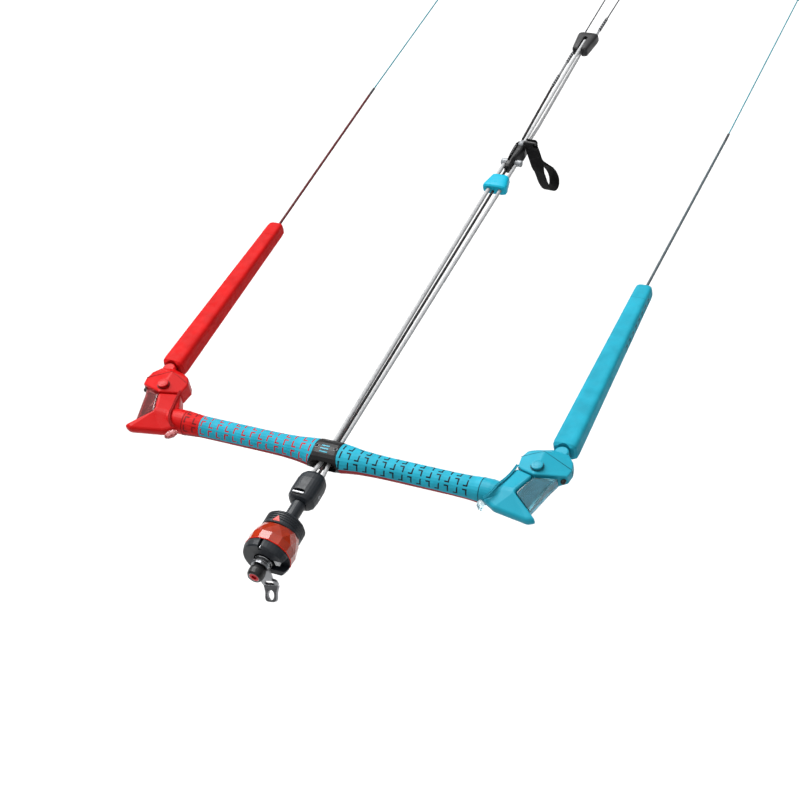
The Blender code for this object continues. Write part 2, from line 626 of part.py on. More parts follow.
def build_line_with_loop(name, start, end, radius, mat):
    """Flying line that ends in a flat sewn loop. start and end: (x, y)."""
    loop_length, loop_half, thick = 34.0, 4.2, 1.1
    line = to_mesh(tube(name, [(*start, 0.0), (end[0], end[1] - loop_length, 0.0)], radius, mat))
    outline = round_corners([(-1.6, 0.0, 0.5), (1.6, 0.0, 0.5), (1.6, 14.0, 4),
                             (loop_half, 20.0, 4), (loop_half, loop_length, 4),
                             (-loop_half, loop_length, 4), (-loop_half, 20.0, 4), (-1.6, 14.0, 4)])
    shift_x, shift_y = end[0], end[1] - loop_length - 2.0
    loop = plate(name + "_loop", [(x + shift_x, y + shift_y) for x, y in outline], thick,
                 collection=CUTTERS)
    eye = round_corners([(-0.6, 17.0, 0.4), (0.6, 17.0, 0.4), (2.3, 21.5, 2),
                         (2.3, loop_length - 2.0, 2), (-2.3, loop_length - 2.0, 2), (-2.3, 21.5, 2)])
    hole = plate(name + "_eye", [(x + shift_x, y + shift_y) for x, y in eye], 4.0, collection=CUTTERS)
    join(line, loop)
    cut(line, hole)


# ---------------------------------------------------------------- depower lines, stopper and trim
def build_centre_lines():
    light = material("depower_grey", LIGHT_GREY, 0.6)
    left = [(-6.4, 126.0, 0.0), (-6.2, 140.0, 0.0), (-4.0, 156.0, 0.0), (-3.6, 190.0, 0.0),
            (-7.2, 600.0, 0.0), (-7.2, 657.0, 0.0)]
    right = [(7.0, 126.0, 0.0), (6.6, 140.0, 0.0), (4.9, 156.0, 0.0), (4.7, 190.0, 0.0),
             (7.2, 600.0, 0.0), (7.2, 657.0, 0.0)]
    middle = [(0.6, 126.0, 0.0), (0.7, 156.0, 0.0), (0.4, 190.0, -0.6), (-1.6, 600.0, -1.6),
              (-1.6, 646.0, -1.6), (-1.2, 700.0, 1.0)]
    tube("depower_line_left", left, 2.3, light)
    tube("depower_line_right", right, 2.0, light)
    tube("safety_line", middle, 1.3, material("safety_dark", (0.03, 0.03, 0.03), 0.7))


def build_stopper():
    blue = material("stopper_cyan", (0.05, 0.62, 0.88), 0.3)
    stations = [(608.6, 13.0, 5.6), (610.2, 14.8, 7.0), (614.0, 14.9, 7.2), (627.0, 11.6, 7.2),
                (630.6, 10.8, 6.8), (632.0, 9.4, 5.4)]
    stopper = loft("stopper", [ring_y(y, a, b, power=4.0, count=28) for y, a, b in stations], blue)
    holes = []
    for name, x, radius, z in (("left", -7.2, 2.7, 0.0), ("right", 7.2, 2.5, 0.0),
                               ("middle", -1.65, 1.75, -1.6)):
        holes.append(rod("stopper_hole_" + name, (x, 600.0, z), (x, 640.0, z), radius,
                         collection=CUTTERS))
    cut(stopper, *holes)


DUCT_START = (-1.64, 640.0, -1.89)
DUCT_END = (-1.17, 704.0, 1.19)


def build_cleat():
    """Cleat with jaws and cross thimble, and the strap that pulls the trim in."""
    black = material("cleat_black", BLACK, 0.45)
    stations = [(649.0, 0.4, 3.9, 5.0), (652.0, 0.4, 4.5, 6.8), (662.0, 0.4, 4.5, 8.4),
                (672.0, 1.8, 7.0, 9.0), (680.0, 2.4, 8.2, 9.2), (692.0, 2.2, 7.8, 8.8),
                (697.0, 1.8, 6.6, 6.6)]
    body = loft("cleat_body", [ring_y(y, a, b, x=x, power=3.2, count=24) for y, x, a, b in stations],
                black)
    jaw = loft("cleat_jaw", [ring_y(y, a, 6.5, x=-0.6, z=11.0, power=2.0, count=16)
                             for y, a in ((657.0, 1.9), (685.0, 2.4), (705.0, 3.0))],
               collection=CUTTERS)
    duct = rod("cleat_duct", DUCT_START, DUCT_END, 1.6, collection=CUTTERS, steps=16)
    thimble_bore = rod("thimble_bore", (-20.0, 664.0, -1.0), (20.0, 664.0, -1.0), 4.4,
                       collection=CUTTERS)
    cut(body, duct, thimble_bore, jaw)
    thimble = rod("cleat_thimble", (-12.5, 664.0, -1.0), (12.5, 664.0, -1.0), 4.1,
                  material("clear_white", CLEAR, 0.2))
    set_origin(thimble, (0.0, 664.0, -1.0))
    cut(thimble, duct)
    build_strap(material("webbing", BLACK, 0.9))


STRAP_PIN = Vector((16.9, 685.8, 14.0))
STRAP_DOWN = Vector((0.182, 0.0, -0.983)).normalized()
STRAP_ACROSS = Vector((0.742, 0.656, 0.137)).normalized()
STRAP_TURN = 55.0            # degrees that the strap is twisted at its pin and in its finger loop


def strap_axes(along):
    """Across and side directions of the strap, which twists along its length."""
    stops = [(2.0, STRAP_TURN), (14.0, 14.0), (27.0, 14.0), (44.0, STRAP_TURN)]
    turn = stops[0][1]
    for (start, low), (end, high) in zip(stops, stops[1:]):
        share = min(1.0, max(0.0, (along - start) / (end - start)))
        turn += (high - low) * share * share * (3.0 - 2.0 * share)
    flat = (STRAP_ACROSS - STRAP_DOWN * STRAP_ACROSS.dot(STRAP_DOWN)).normalized()
    face = STRAP_DOWN.cross(flat)
    c, s = math.cos(math.radians(turn)), math.sin(math.radians(turn))
    return flat * c + face * s, face * c - flat * s


def build_strap(webbing):
    """Webbing strap: it wraps the pull pin, its two layers run down and open into a finger loop."""
    half_width, half_thick = 7.5, 0.8
    centre = [(3.4, -2.6), (4.4, 1.2), (2.8, 5.0), (1.2, 9.0), (1.2, 18.0), (1.2, 27.0), (1.2, 36.0),
              (0.8, 46.0), (0.6, 57.0), (-1.2, 66.0), (-4.8, 72.4), (-10.0, 75.0), (-15.2, 73.0),
              (-18.8, 67.0), (-19.4, 58.0), (-16.0, 47.0), (-9.0, 37.0), (-3.0, 29.0), (-1.2, 23.0),
              (-1.2, 16.0), (-1.2, 9.0), (-2.8, 5.0), (-4.4, 1.2), (-3.4, -2.6)]
    middle = [STRAP_PIN + STRAP_DOWN * v + strap_axes(v)[1] * u for u, v in centre]
    rings = []
    for i, point in enumerate(middle):
        before, after = middle[max(0, i - 1)], middle[min(len(middle) - 1, i + 1)]
        across = strap_axes(centre[i][1])[0]
        normal = (after - before).cross(across).normalized()
        rings.append([point + across * (half_width * sa) + normal * (half_thick * sb)
                      for sa, sb in ((-1, -1), (1, -1), (1, 1), (-1, 1))])
    strap = loft("pull_strap", rings, webbing)
    set_origin(strap, STRAP_PIN)
    along = strap_axes(0.0)[0]
    pin = rod("pull_pin", STRAP_PIN - along * 8.4, STRAP_PIN + along * 8.4, 2.2,
              material("pin_black", BLACK, 0.5))
    set_origin(pin, STRAP_PIN)


def build_trim():
    """Trim line between cleat and block, the block with its pin, and the two front lines."""
    white = material("trim_white", (0.75, 0.76, 0.78), 0.6)
    tube("trim_strand_upper", [(3.4, 697.6, 4.6), (2.6, 740.0, 4.4), (0.0, 894.6, 3.9)],
         1.9, white)
    tube("trim_strand_lower", [(5.4, 697.6, -0.2), (4.4, 740.0, -3.0), (0.0, 894.6, -3.9)],
         1.9, white)
    turn_radius, steps = 3.9, 8
    middle_y = 914.0
    arc = [(0.0, middle_y + turn_radius * math.sin(math.pi * k / steps),
            turn_radius * math.cos(math.pi * k / steps)) for k in range(steps + 1)]
    tube("trim_turn", [(0.0, 894.9, 3.9), *arc, (0.0, 894.9, -3.9)], 1.9, white)
    block_stations = [(895.2, 9.0, 5.6), (897.0, 10.2, 6.8), (905.0, 11.0, 7.2), (924.0, 13.2, 7.2),
                      (929.0, 13.4, 6.8), (931.5, 12.2, 5.6)]
    block = loft("trim_block", [ring_y(y, a, b, power=4.5, count=28) for y, a, b in block_stations],
                 material("block_grey", (0.06, 0.06, 0.065), 0.5))
    pocket = plate("block_pocket", round_corners([(-2.6, 890.0, 0), (2.6, 890.0, 0), (2.6, 920.6, 2.5),
                                                  (-2.6, 920.6, 2.5)]), 12.0, collection=CUTTERS)
    holes = []
    for name, x in (("left", -8.0), ("right", 8.0)):
        holes.append(rod("block_hole_" + name, (x, 890.0, 0.0), (x, 940.0, 0.0), 1.5, collection=CUTTERS))
    pin_bore = rod("block_pin_bore", (-6.0, middle_y, 0.0), (6.0, middle_y, 0.0), 1.8,
                   collection=CUTTERS)
    cut(block, pocket, pin_bore, *holes)
    pin = rod("block_pin", (-5.6, middle_y, 0.0), (5.6, middle_y, 0.0), 1.5,
              material("steel", STEEL, 0.25, 1.0), steps=16)
    set_origin(pin, (0.0, middle_y, 0.0))
    front = material("front_line", (0.16, 0.17, 0.19), 0.7)
    for word, x in (("left", -8.0), ("right", 8.0)):
        build_line_with_loop("front_line_" + word, (x, 894.6), (x * 1.2, LINE_END_Y), 0.85, front)
    tube("safety_strand", [(-1.15, 700.4, 1.0), (-2.8, 708.0, 1.0), (-5.2, 762.0, 0.4), (-7.4, 819.0, 0.0),
                           (-8.0, 868.6, 0.0)], 1.5,
         material("safety_dark", (0.03, 0.03, 0.03), 0.7))
    tube("sewn_end_left", [(-8.0, 869.0, 0.0), (-8.0, 894.2, 0.0)], 2.0,
         material("sewn_black", (0.05, 0.05, 0.05), 0.8))


def main():
    build_stud()
    build_leash_plate()
    build_release()
    build_swivel()
    build_hub()
    build_grips()
    build_end(-1, "left", "end_red", RED)
    build_end(1, "right", "end_cyan", CYAN)
    build_float(-1, "left", "float_red", RED)
    build_float(1, "right", "float_cyan", CYAN)
    build_centre_lines()
    build_stopper()
    build_cleat()
    build_trim()


main()
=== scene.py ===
"""Looks of the kite control bar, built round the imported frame.

+X runs along the bar, +Y towards the kite, +Z up. Places and sizes of pieces are in millimetres and
become metres by MM. The camera, the studio and the numbers inside materials are in metres.
"""

import math

import bmesh
import bpy
from mathutils import Matrix, Vector


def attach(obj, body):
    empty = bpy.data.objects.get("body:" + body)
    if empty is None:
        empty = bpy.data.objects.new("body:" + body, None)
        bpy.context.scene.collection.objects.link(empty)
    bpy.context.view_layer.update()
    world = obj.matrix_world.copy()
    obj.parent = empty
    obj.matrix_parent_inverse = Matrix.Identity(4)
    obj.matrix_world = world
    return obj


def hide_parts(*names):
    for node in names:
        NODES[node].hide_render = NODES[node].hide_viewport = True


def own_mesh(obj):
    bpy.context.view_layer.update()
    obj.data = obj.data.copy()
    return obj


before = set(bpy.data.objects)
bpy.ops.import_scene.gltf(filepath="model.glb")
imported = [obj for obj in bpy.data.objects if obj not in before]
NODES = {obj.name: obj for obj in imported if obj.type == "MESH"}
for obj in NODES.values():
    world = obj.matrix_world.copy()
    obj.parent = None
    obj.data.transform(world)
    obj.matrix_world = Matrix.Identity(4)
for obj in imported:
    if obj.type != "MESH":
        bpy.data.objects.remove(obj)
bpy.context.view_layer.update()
MM = 0.001

# pieces, in millimetres
BAR_Y = 167.0           # the bar's axis
LINE_END = 1058.0       # where the flying lines stop
SAFETY_RADIUS, LEADER_RADIUS, TRIM_RADIUS = 1.5, 1.5, 1.9
ROPE_STEP = 3.0         # between the rings of corners of a drawn rope
STRAP_WIDTH = 15.0
WEAVE_PITCH = 1.3       # one slanting rib of the strap
SIDES = ((-1, "left"), (1, "right"))

# the fitted camera: its place, its own axes in the frame's, and its focal length
CAMERA_PLACE = (0.76452, -0.82300, 1.24959)
CAMERA_RIGHT = (0.89604, 0.41271, -0.16366)
CAMERA_UP = (-0.18740, 0.68575, 0.70330)
CAMERA_BACK = (0.40249, -0.59951, 0.69180)
CAMERA_LENS = 77.84

# the studio
WORLD_STRENGTH = 1.35
KEY_DIRECTION, KEY_STRENGTH, KEY_SOFTNESS = (0.50, -0.32, -0.81), 4.7, 50.0
FILL_PLACE, FILL_TARGET, FILL_SIZE, FILL_POWER = (0.9, -1.5, 1.1), (0.0, 0.3, 0.0), 0.9, 2.0
FLOOR_HALF, FLOOR_Z = 8.0, -0.75
FLOOR_TONES = 0.53, 0.56


def in_scene(name, data):
    """A new object with data, linked to the scene."""
    obj = bpy.data.objects.new(name, data)
    bpy.context.scene.collection.objects.link(obj)
    return obj


# ---- camera, floor and light
def build_camera():
    """The camera that was fitted to the photograph."""
    data = bpy.data.cameras.new("camera")
    data.sensor_width = 36.0
    data.lens = CAMERA_LENS
    data.clip_end = 20.0
    camera = in_scene("camera", data)
    axes = Matrix((CAMERA_RIGHT, CAMERA_UP, CAMERA_BACK)).transposed()
    camera.matrix_world = Matrix.Translation(CAMERA_PLACE) @ axes.to_4x4()
    bpy.context.scene.camera = camera
    bpy.context.scene.view_settings.view_transform = "Standard"


def area_light(name, place, target, size, power):
    """A round lamp that faces its target."""
    data = bpy.data.lights.new(name, "AREA")
    data.shape = "DISK"
    data.size = size
    data.energy = power
    light = in_scene(name, data)
    light.location = place
    light.rotation_euler = (Vector(target) - Vector(place)).to_track_quat("-Z", "Y").to_euler()


def sun(name, direction, strength, softness):
    """A distant lamp that shines along direction; softness is its width in degrees."""
    data = bpy.data.lights.new(name, "SUN")
    data.energy = strength
    data.angle = math.radians(softness)
    in_scene(name, data).rotation_euler = Vector(direction).to_track_quat("-Z", "Y").to_euler()


def build_studio():
    """Bright ceiling over darker walls, a soft sun from the left and above, a weak lamp from the
    right, and a pale floor."""
    world = bpy.data.worlds.new("studio")
    world.use_nodes = True
    tree = world.node_tree
    coords = tree.nodes.new("ShaderNodeTexCoord")
    parts = tree.nodes.new("ShaderNodeSeparateXYZ")
    ramp = tree.nodes.new("ShaderNodeValToRGB")
    wall, ceiling = ramp.color_ramp.elements
    wall.position, wall.color = 0.15, (0.08, 0.08, 0.08, 1.0)
    ceiling.position, ceiling.color = 0.95, (1.0, 1.0, 1.0, 1.0)
    background = tree.nodes["Background"]
    background.inputs["Strength"].default_value = WORLD_STRENGTH
    tree.links.new(coords.outputs["Generated"], parts.inputs["Vector"])
    tree.links.new(parts.outputs["Z"], ramp.inputs["Fac"])
    tree.links.new(ramp.outputs["Color"], background.inputs["Color"])
    bpy.context.scene.world = world
    sun("key", KEY_DIRECTION, KEY_STRENGTH, KEY_SOFTNESS)
    area_light("fill", FILL_PLACE, FILL_TARGET, FILL_SIZE, FILL_POWER)
    look = Look("floor_paper")
    darker, lighter = FLOOR_TONES
    look.colour(look.noise(3.0, 3.0), ((0.35, darker), (0.65, lighter)))
    look.bump(look.noise(900.0, 4.0), 0.02, 0.0002)
    look.set(Roughness=0.9, Specular_IOR_Level=0.1)
    mesh = bpy.data.meshes.new("floor")
    corners = ((-1, -1), (1, -1), (1, 1), (-1, 1))
    mesh.from_pydata([(x * FLOOR_HALF, y * FLOOR_HALF, FLOOR_Z) for x, y in corners],
                     [], [(0, 1, 2, 3)])
    mesh.materials.append(look.mat)
    in_scene("floor", mesh)


# ---- materials
class Look:
    """A procedural material: its node tree, with short calls for the nodes that it uses."""

    def __init__(self, name):
        self.mat = bpy.data.materials.new(name)
        self.mat.use_nodes = True
        self.tree = self.mat.node_tree
        self.shader = self.tree.nodes["Principled BSDF"]
        self.height = None

    def node(self, kind, **values):
        node = self.tree.nodes.new(kind)
        for key, value in values.items():
            setattr(node, key, value)
        return node

    def link(self, source, target):
        self.tree.links.new(source, target)

    def place(self, stretch=(1.0, 1.0, 1.0)):
        """The piece's own coordinates, stretched."""
        coords = self.node("ShaderNodeTexCoord")
        mapping = self.node("ShaderNodeMapping")
        mapping.inputs["Scale"].default_value = stretch
        self.link(coords.outputs["Object"], mapping.inputs["Vector"])
        return mapping.outputs["Vector"]

    def noise(self, scale, detail=4.0, stretch=(1.0, 1.0, 1.0)):
        """Cloudy values, scale of them to the metre."""
        texture = self.node("ShaderNodeTexNoise")
        texture.inputs["Scale"].default_value = scale
        texture.inputs["Detail"].default_value = detail
        self.link(self.place(stretch), texture.inputs["Vector"])
        return texture.outputs["Fac"]

    def cells(self, scale):
        """Distance to the nearest of scattered points, scale of them to the metre."""
        texture = self.node("ShaderNodeTexVoronoi")
        texture.inputs["Scale"].default_value = scale
        self.link(self.place(), texture.inputs["Vector"])
        return texture.outputs["Distance"]

    def ramp(self, value, stops):
        """Value turned into a colour by stops: (position, colour or grey level)."""
        ramp = self.node("ShaderNodeValToRGB")
        elements = ramp.color_ramp.elements
        while len(elements) < len(stops):
            elements.new(0.5)
        for element, (position, colour) in zip(elements, stops):
            element.position = position
            rgb = (colour, colour, colour) if isinstance(colour, float) else colour
            element.color = (*rgb, 1.0)
        self.link(value, ramp.inputs["Fac"])
        return ramp.outputs["Color"]

    def feed(self, socket, value):
        """Sets a socket to a number or a colour, or links a node's output to it."""
        if isinstance(value, (int, float)):
            socket.default_value = value
        elif isinstance(value, tuple):
            socket.default_value = (*value, 1.0)
        else:
            self.link(value, socket)

    def math(self, operation, a, b=0.0, c=0.0):
        node = self.node("ShaderNodeMath", operation=operation)
        for socket, value in zip(node.inputs, (a, b, c)):
            self.feed(socket, value)
        return node.outputs[0]

    def times(self, a, b):
        return self.math("MULTIPLY", a, b)

    def plus(self, a, b):
        return self.math("ADD", a, b)

    def minus(self, a, b):
        return self.math("SUBTRACT", a, b)

    def absolute(self, value):
        return self.math("ABSOLUTE", value)

    def wave(self, value):
        """0 at each whole value, 1 half-way to the next, round in between."""
        return self.absolute(self.math("SINE", self.times(value, math.pi)))

    def within(self, value, low, high):
        """1 where value lies between low and high, else 0."""
        return self.math("COMPARE", value, (low + high) / 2.0, (high - low) / 2.0)

    def steps(self, value):
        """The whole part and the rest of a value."""
        whole = self.math("FLOOR", value)
        return whole, self.minus(value, whole)

    def mix(self, factor, a, b):
        """Colour a to colour b by factor. The node's colour sockets are 6 and 7 in, 2 out."""
        node = self.node("ShaderNodeMix", data_type="RGBA")
        for socket, value in (("Factor", factor), (6, a), (7, b)):
            self.feed(node.inputs[socket], value)
        return node.outputs[2]

    def axes(self, source="Object"):
        """The three coordinates, each on its own."""
        coords = self.node("ShaderNodeTexCoord")
        parts = self.node("ShaderNodeSeparateXYZ")
        self.link(coords.outputs[source], parts.inputs["Vector"])
        return tuple(parts.outputs)

    def colour(self, value, stops):
        """Base colour from a value, by stops."""
        self.paint(self.ramp(value, stops))

    def paint(self, colour):
        """Base colour from a node's output."""
        self.link(colour, self.shader.inputs["Base Color"])

    def rough(self, value, low, high):
        """Roughness from low to high by value."""
        self.link(self.ramp(value, ((0.3, low), (0.7, high))), self.shader.inputs["Roughness"])

    def bump(self, value, strength, distance):
        """Adds relief to what is there already."""
        node = self.node("ShaderNodeBump")
        node.inputs["Strength"].default_value = strength
        node.inputs["Distance"].default_value = distance
        self.link(value, node.inputs["Height"])
        if self.height is not None:
            self.link(self.height, node.inputs["Normal"])
        self.height = node.outputs["Normal"]
        self.link(self.height, self.shader.inputs["Normal"])

    def set(self, **values):
        """Numbers on the shader's own sockets, _ for a space in their names."""
        for key, value in values.items():
            self.shader.inputs[key.replace("_", " ")].default_value = value


def shades(colour, spread):
    """A darker and a lighter version of a colour."""
    dark = tuple(c * (1.0 - spread) for c in colour)
    return dark, tuple(min(1.0, c * (1.0 + spread)) for c in colour)


def moulded(name, colour, roughness, grain=1400.0, depth=0.00003, spread=0.12, **values):
    """Injection-moulded plastic: faint cloudy colour, fine grain, rubbed spots that shine more."""
    look = Look(name)
    dark, light = shades(colour, spread)
    look.colour(look.noise(38.0, 5.0), ((0.3, dark), (0.7, light)))
    look.rough(look.noise(90.0, 6.0), max(0.05, roughness - 0.1), min(1.0, roughness + 0.12))
    look.bump(look.noise(grain, 3.0), 0.35, depth)
    look.set(Specular_IOR_Level=0.3)
    look.set(**values)
    return look


def foam(name, colour):
    """Moulded foam rubber: closed skin with fine pores and soft mottling."""
    depth = 0.00008
    look = Look(name)
    dark, light = shades(colour, 0.14)
    look.colour(look.noise(55.0, 6.0), ((0.28, dark), (0.72, light)))
    look.rough(look.noise(160.0, 4.0), 0.47, 0.67)
    look.bump(look.cells(1500.0), 0.45, depth)
    look.bump(look.noise(320.0, 5.0), 0.3, depth)
    look.set(Specular_IOR_Level=0.08)
    return look


def metal(name, colour, roughness):
    """Polished or brushed steel: fine lines across Y and small darker stains."""
    brushed = (1.0, 60.0, 1.0)
    look = Look(name)
    dark, light = shades(colour, 0.12)
    look.colour(look.noise(70.0, 6.0), ((0.3, dark), (0.7, light)))
    look.rough(look.noise(60.0, 6.0, brushed), roughness - 0.08, roughness + 0.14)
    look.bump(look.noise(260.0, 4.0, brushed), 0.15, 0.00002)
    look.set(Metallic=1.0)
    return look


def braid(name, colour, fleck, fleck_share=0.2):
    """Braided rope on a tube whose UV is (turns round it, length over its girth), with painted
    shade in the grooves between its yarns.
    """
    yarns = 8.0
    look = Look(name)
    u, v = (look.times(value, yarns) for value in look.axes("UV")[:2])
    a, b = look.plus(u, v), look.minus(u, v)
    over = look.plus(look.math("FLOOR", a), look.math("FLOOR", b))
    over = look.absolute(look.math("MODULO", over, 2.0))
    top = look.node("ShaderNodeMix", data_type="FLOAT")
    look.link(over, top.inputs["Factor"])
    look.link(look.wave(a), top.inputs[2])
    look.link(look.wave(b), top.inputs[3])
    height = top.outputs[0]
    fibre = look.noise(9000.0, 2.0, stretch=(1.0, 0.15, 1.0))
    dark, light = shades(colour, 0.08)
    # Painted shade: the yarns darken into the grooves between them and lighten on their crowns.
    groove_shade_painted = tuple(c * 0.6 for c in colour)
    thread = look.ramp(height, ((0.05, groove_shade_painted), (0.4, dark), (0.95, light)))
    random = look.node("ShaderNodeTexWhiteNoise", noise_dimensions="2D")
    cell = look.node("ShaderNodeCombineXYZ")
    look.link(look.math("FLOOR", a), cell.inputs["X"])
    look.link(look.math("FLOOR", look.times(b, 0.5)), cell.inputs["Y"])
    look.link(cell.outputs["Vector"], random.inputs["Vector"])
    marked = look.math("LESS_THAN", random.outputs["Value"], fleck_share)
    look.paint(look.mix(look.times(marked, height), thread, fleck))
    look.rough(fibre, 0.6, 0.85)
    look.bump(height, 0.5, 0.0002)
    look.bump(fibre, 0.3, 0.00005)
    look.set(Specular_IOR_Level=0.15)
    return look


# ---- pieces
def add_mesh(name, bm, look, body, smooth=60.0):
    """A piece from bm on a body; edges sharper than smooth degrees stay sharp."""
    mesh = bpy.data.meshes.new(name)
    bmesh.ops.recalc_face_normals(bm, faces=bm.faces)
    bm.to_mesh(mesh)
    bm.free()
    mesh.shade_smooth()
    mesh.set_sharp_from_angle(angle=math.radians(smooth))
    mesh.materials.append(look.mat)
    obj = in_scene(name, mesh)
    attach(obj, body)
    return obj


def turns(sides):
    """The angles of a round section's corners."""
    return [2.0 * math.pi * k / sides for k in range(sides)]


def row_round(bm, point, across, up, radius, sides):
    """A ring of corners round a point."""
    return [bm.verts.new(point + (across * math.cos(t) + up * math.sin(t)) * radius)
            for t in turns(sides)]


def skin(bm, rows, around=None, along=None):
    """Faces between each ring of corners and the next, with UVs where both lists are given: one
    value for each step round a ring, and one for each ring."""
    sides = len(rows[0])
    layer = bm.loops.layers.uv.verify() if around else None
    for i in range(len(rows) - 1):
        for k in range(sides):
            m = (k + 1) % sides
            face = bm.faces.new((rows[i][k], rows[i][m], rows[i + 1][m], rows[i + 1][k]))
            if around:
                spots = ((k, i), (k + 1, i), (k + 1, i + 1), (k, i + 1))
                for loop, (step, row) in zip(face.loops, spots):
                    loop[layer].uv = (around[step], along[row])


def cap_ends(bm, rows):
    """Closes the first and the last ring of corners."""
    bm.faces.new(rows[0])
    bm.faces.new(rows[-1])


def frames_along(points):
    """A point, and two directions across the route, for each point of it."""
    result = []
    across = None
    for i, point in enumerate(points):
        before, after = points[max(0, i - 1)], points[min(len(points) - 1, i + 1)]
        along = (after - before).normalized()
        if across is None:
            across = Vector((0, 0, 1)).cross(along)
            if across.length < 0.1:
                across = Vector((1, 0, 0)).cross(along)
        across = (across - along * across.dot(along)).normalized()
        result.append((point, across, along.cross(across).normalized()))
    return result


def metres(points):
    """Points in millimetres turned into vectors in metres."""
    return [Vector(p) * MM for p in points]


def resample(points, step):
    """Points about a step apart along straight runs, corners kept."""
    result = [points[0]]
    for a, b in zip(points, points[1:]):
        count = max(1, round((b - a).length / step))
        result += [a.lerp(b, k / count) for k in range(1, count + 1)]
    return result


def rope_into(bm, points, radius, sides=12):
    """Adds a tube along points (Vectors, metres) to bm, with UVs for a braid."""
    rows, lengths, run = [], [], 0.0
    for i, (point, across, up) in enumerate(frames_along(points)):
        if i:
            run += (point - points[i - 1]).length
        lengths.append(run / (2.0 * math.pi * radius))
        rows.append(row_round(bm, point, across, up, radius, sides))
    skin(bm, rows, [k / sides for k in range(sides + 1)], lengths)
    cap_ends(bm, rows)
    return bm


def rope(name, node, points, radius, look, body, sides=12, **cord):
    """A taut rope along points in millimetres, in place of its CAD node; cord is not used."""
    route = resample(metres(points), ROPE_STEP * MM)
    obj = add_mesh(name, rope_into(bmesh.new(), route, radius * MM, sides), look, body)
    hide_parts(node)
    return obj


def dress(look, *names):
    """Gives CAD nodes a material."""
    for name in names:
        node = NODES[name]
        node.data.materials.clear()
        node.data.materials.append(look.mat)


build_camera()
build_studio()


# ---- looks of the CAD nodes
CYAN = (0.010, 0.235, 0.325)
RED = (0.420, 0.004, 0.004)
BLACK = (0.0025, 0.0025, 0.003)
GREY = (0.0085, 0.011, 0.0145)
ROPE_WHITE = (0.42, 0.425, 0.43), (0.30, 0.31, 0.32)


def grip_look(name, colour, mark, low, high):
    """Soft grip: rows of sunk L marks from low to high along the bar, and a red strip along the
    lower edge. Each mark has a cell, pitch long and one of around round the grip. low, high and
    pitch are in millimetres."""
    pitch, around = 10.0, 8.0
    look = Look(name)
    x, y, z = look.axes()
    out = look.times(look.absolute(x), 1000.0 / pitch)
    turn = look.math("ARCTAN2", z, look.minus(y, BAR_Y * MM))
    turn = look.math("DIVIDE", turn, math.radians(360.0 / around))
    column, u = look.steps(out)
    row, v = look.steps(turn)
    odd = look.math("MODULO", look.plus(look.plus(column, row), 64.0), 2.0)
    level = look.plus(look.times(odd, 0.58), 0.21)
    off_arm = look.absolute(look.minus(v, level))
    upright = look.times(look.within(u, 0.73, 0.88), look.within(v, 0.13, 0.87))
    arm = look.times(look.within(u, 0.38, 0.88), look.within(off_arm, -1.0, 0.08))
    marked = look.math("MAXIMUM", upright, arm)
    marked = look.times(marked, look.within(out, low / pitch, high / pitch))
    below = look.within(turn, -around / 2.0, -around / 4.0)
    marked = look.times(marked, look.minus(1.0, below))
    whole_turn = look.times(look.math("GREATER_THAN", turn, 0.0), around)
    slid = look.minus(look.minus(turn, whole_turn), look.times(out, 0.022))
    strip = look.within(slid, -4.12, -2.7)
    dark, light = shades(colour, 0.12)
    base = look.ramp(look.noise(60.0, 6.0), ((0.3, dark), (0.7, light)))
    base = look.mix(marked, base, mark)
    look.paint(look.mix(strip, base, (0.22, 0.010, 0.013)))
    look.rough(look.noise(170.0, 4.0), 0.5, 0.75)
    look.bump(look.minus(1.0, marked), 0.6, 0.0006)
    look.bump(look.cells(1300.0), 0.35, 0.00008)
    look.bump(look.noise(2600.0, 3.0), 0.25, 0.00004)
    look.set(Specular_IOR_Level=0.15)
    return look


def float_look(name, colour, dashes):
    """Foam float: fine pores, a parting line along each side, one line across, and perhaps dashes
    near its kite end."""
    look = foam(name, colour)
    x, y, z = look.axes()
    base = look.shader.inputs["Base Color"].links[0].from_socket
    parting = look.within(z, -0.0001, 0.0001)
    line = look.math("MAXIMUM", parting, look.within(y, 0.4628, 0.4633))
    base = look.mix(look.times(line, 0.55), base, tuple(c * 0.35 for c in colour))
    if dashes:
        inner, edge, side = 0.0016, 0.0030, 0.2365
        _, rest = look.steps(look.times(y, 95.0))
        high, low = look.within(z, inner, edge), look.within(z, -edge, -inner)
        bar = look.times(look.within(rest, 0.2, 0.75), look.math("MAXIMUM", high, low))
        post = look.times(look.within(rest, 0.62, 0.75), look.within(z, -edge, edge))
        bar = look.math("MAXIMUM", bar, post)
        bar = look.times(bar, look.within(y, 0.392, 0.474))
        bar = look.times(bar, look.math("GREATER_THAN", x, side))
        base = look.mix(bar, base, (0.012, 0.014, 0.016))
    look.paint(base)
    look.bump(look.minus(1.0, line), 0.5, 0.0004)
    return look


def clear_plastic(name, tint, roughness=0.08):
    """Clear moulded plastic, faintly tinted, with fine scratches."""
    look = moulded(name, tint, roughness, 900.0, 0.00002, 0.05)
    look.set(Transmission_Weight=0.92, IOR=1.45)
    return look


def milky_plastic():
    """Half-clear white plastic of the rope guides."""
    look = moulded("milky_plastic", (0.34, 0.36, 0.38), 0.22, 900.0, 0.00002, 0.06)
    look.set(Transmission_Weight=0.35, IOR=1.45, Coat_Weight=0.3)
    return look


def orange_plastic():
    """See-through orange-red plastic with cloudy depth and a glossy skin."""
    look = Look("orange_plastic")
    look.colour(look.noise(45.0, 4.0), ((0.3, (0.22, 0.014, 0.0005)), (0.7, (0.44, 0.026, 0.001))))
    look.rough(look.noise(80.0, 4.0), 0.05, 0.16)
    look.bump(look.noise(500.0, 2.0), 0.1, 0.00003)
    look.set(Transmission_Weight=0.3, IOR=1.5, Coat_Weight=0.25, Coat_Roughness=0.05)
    return look


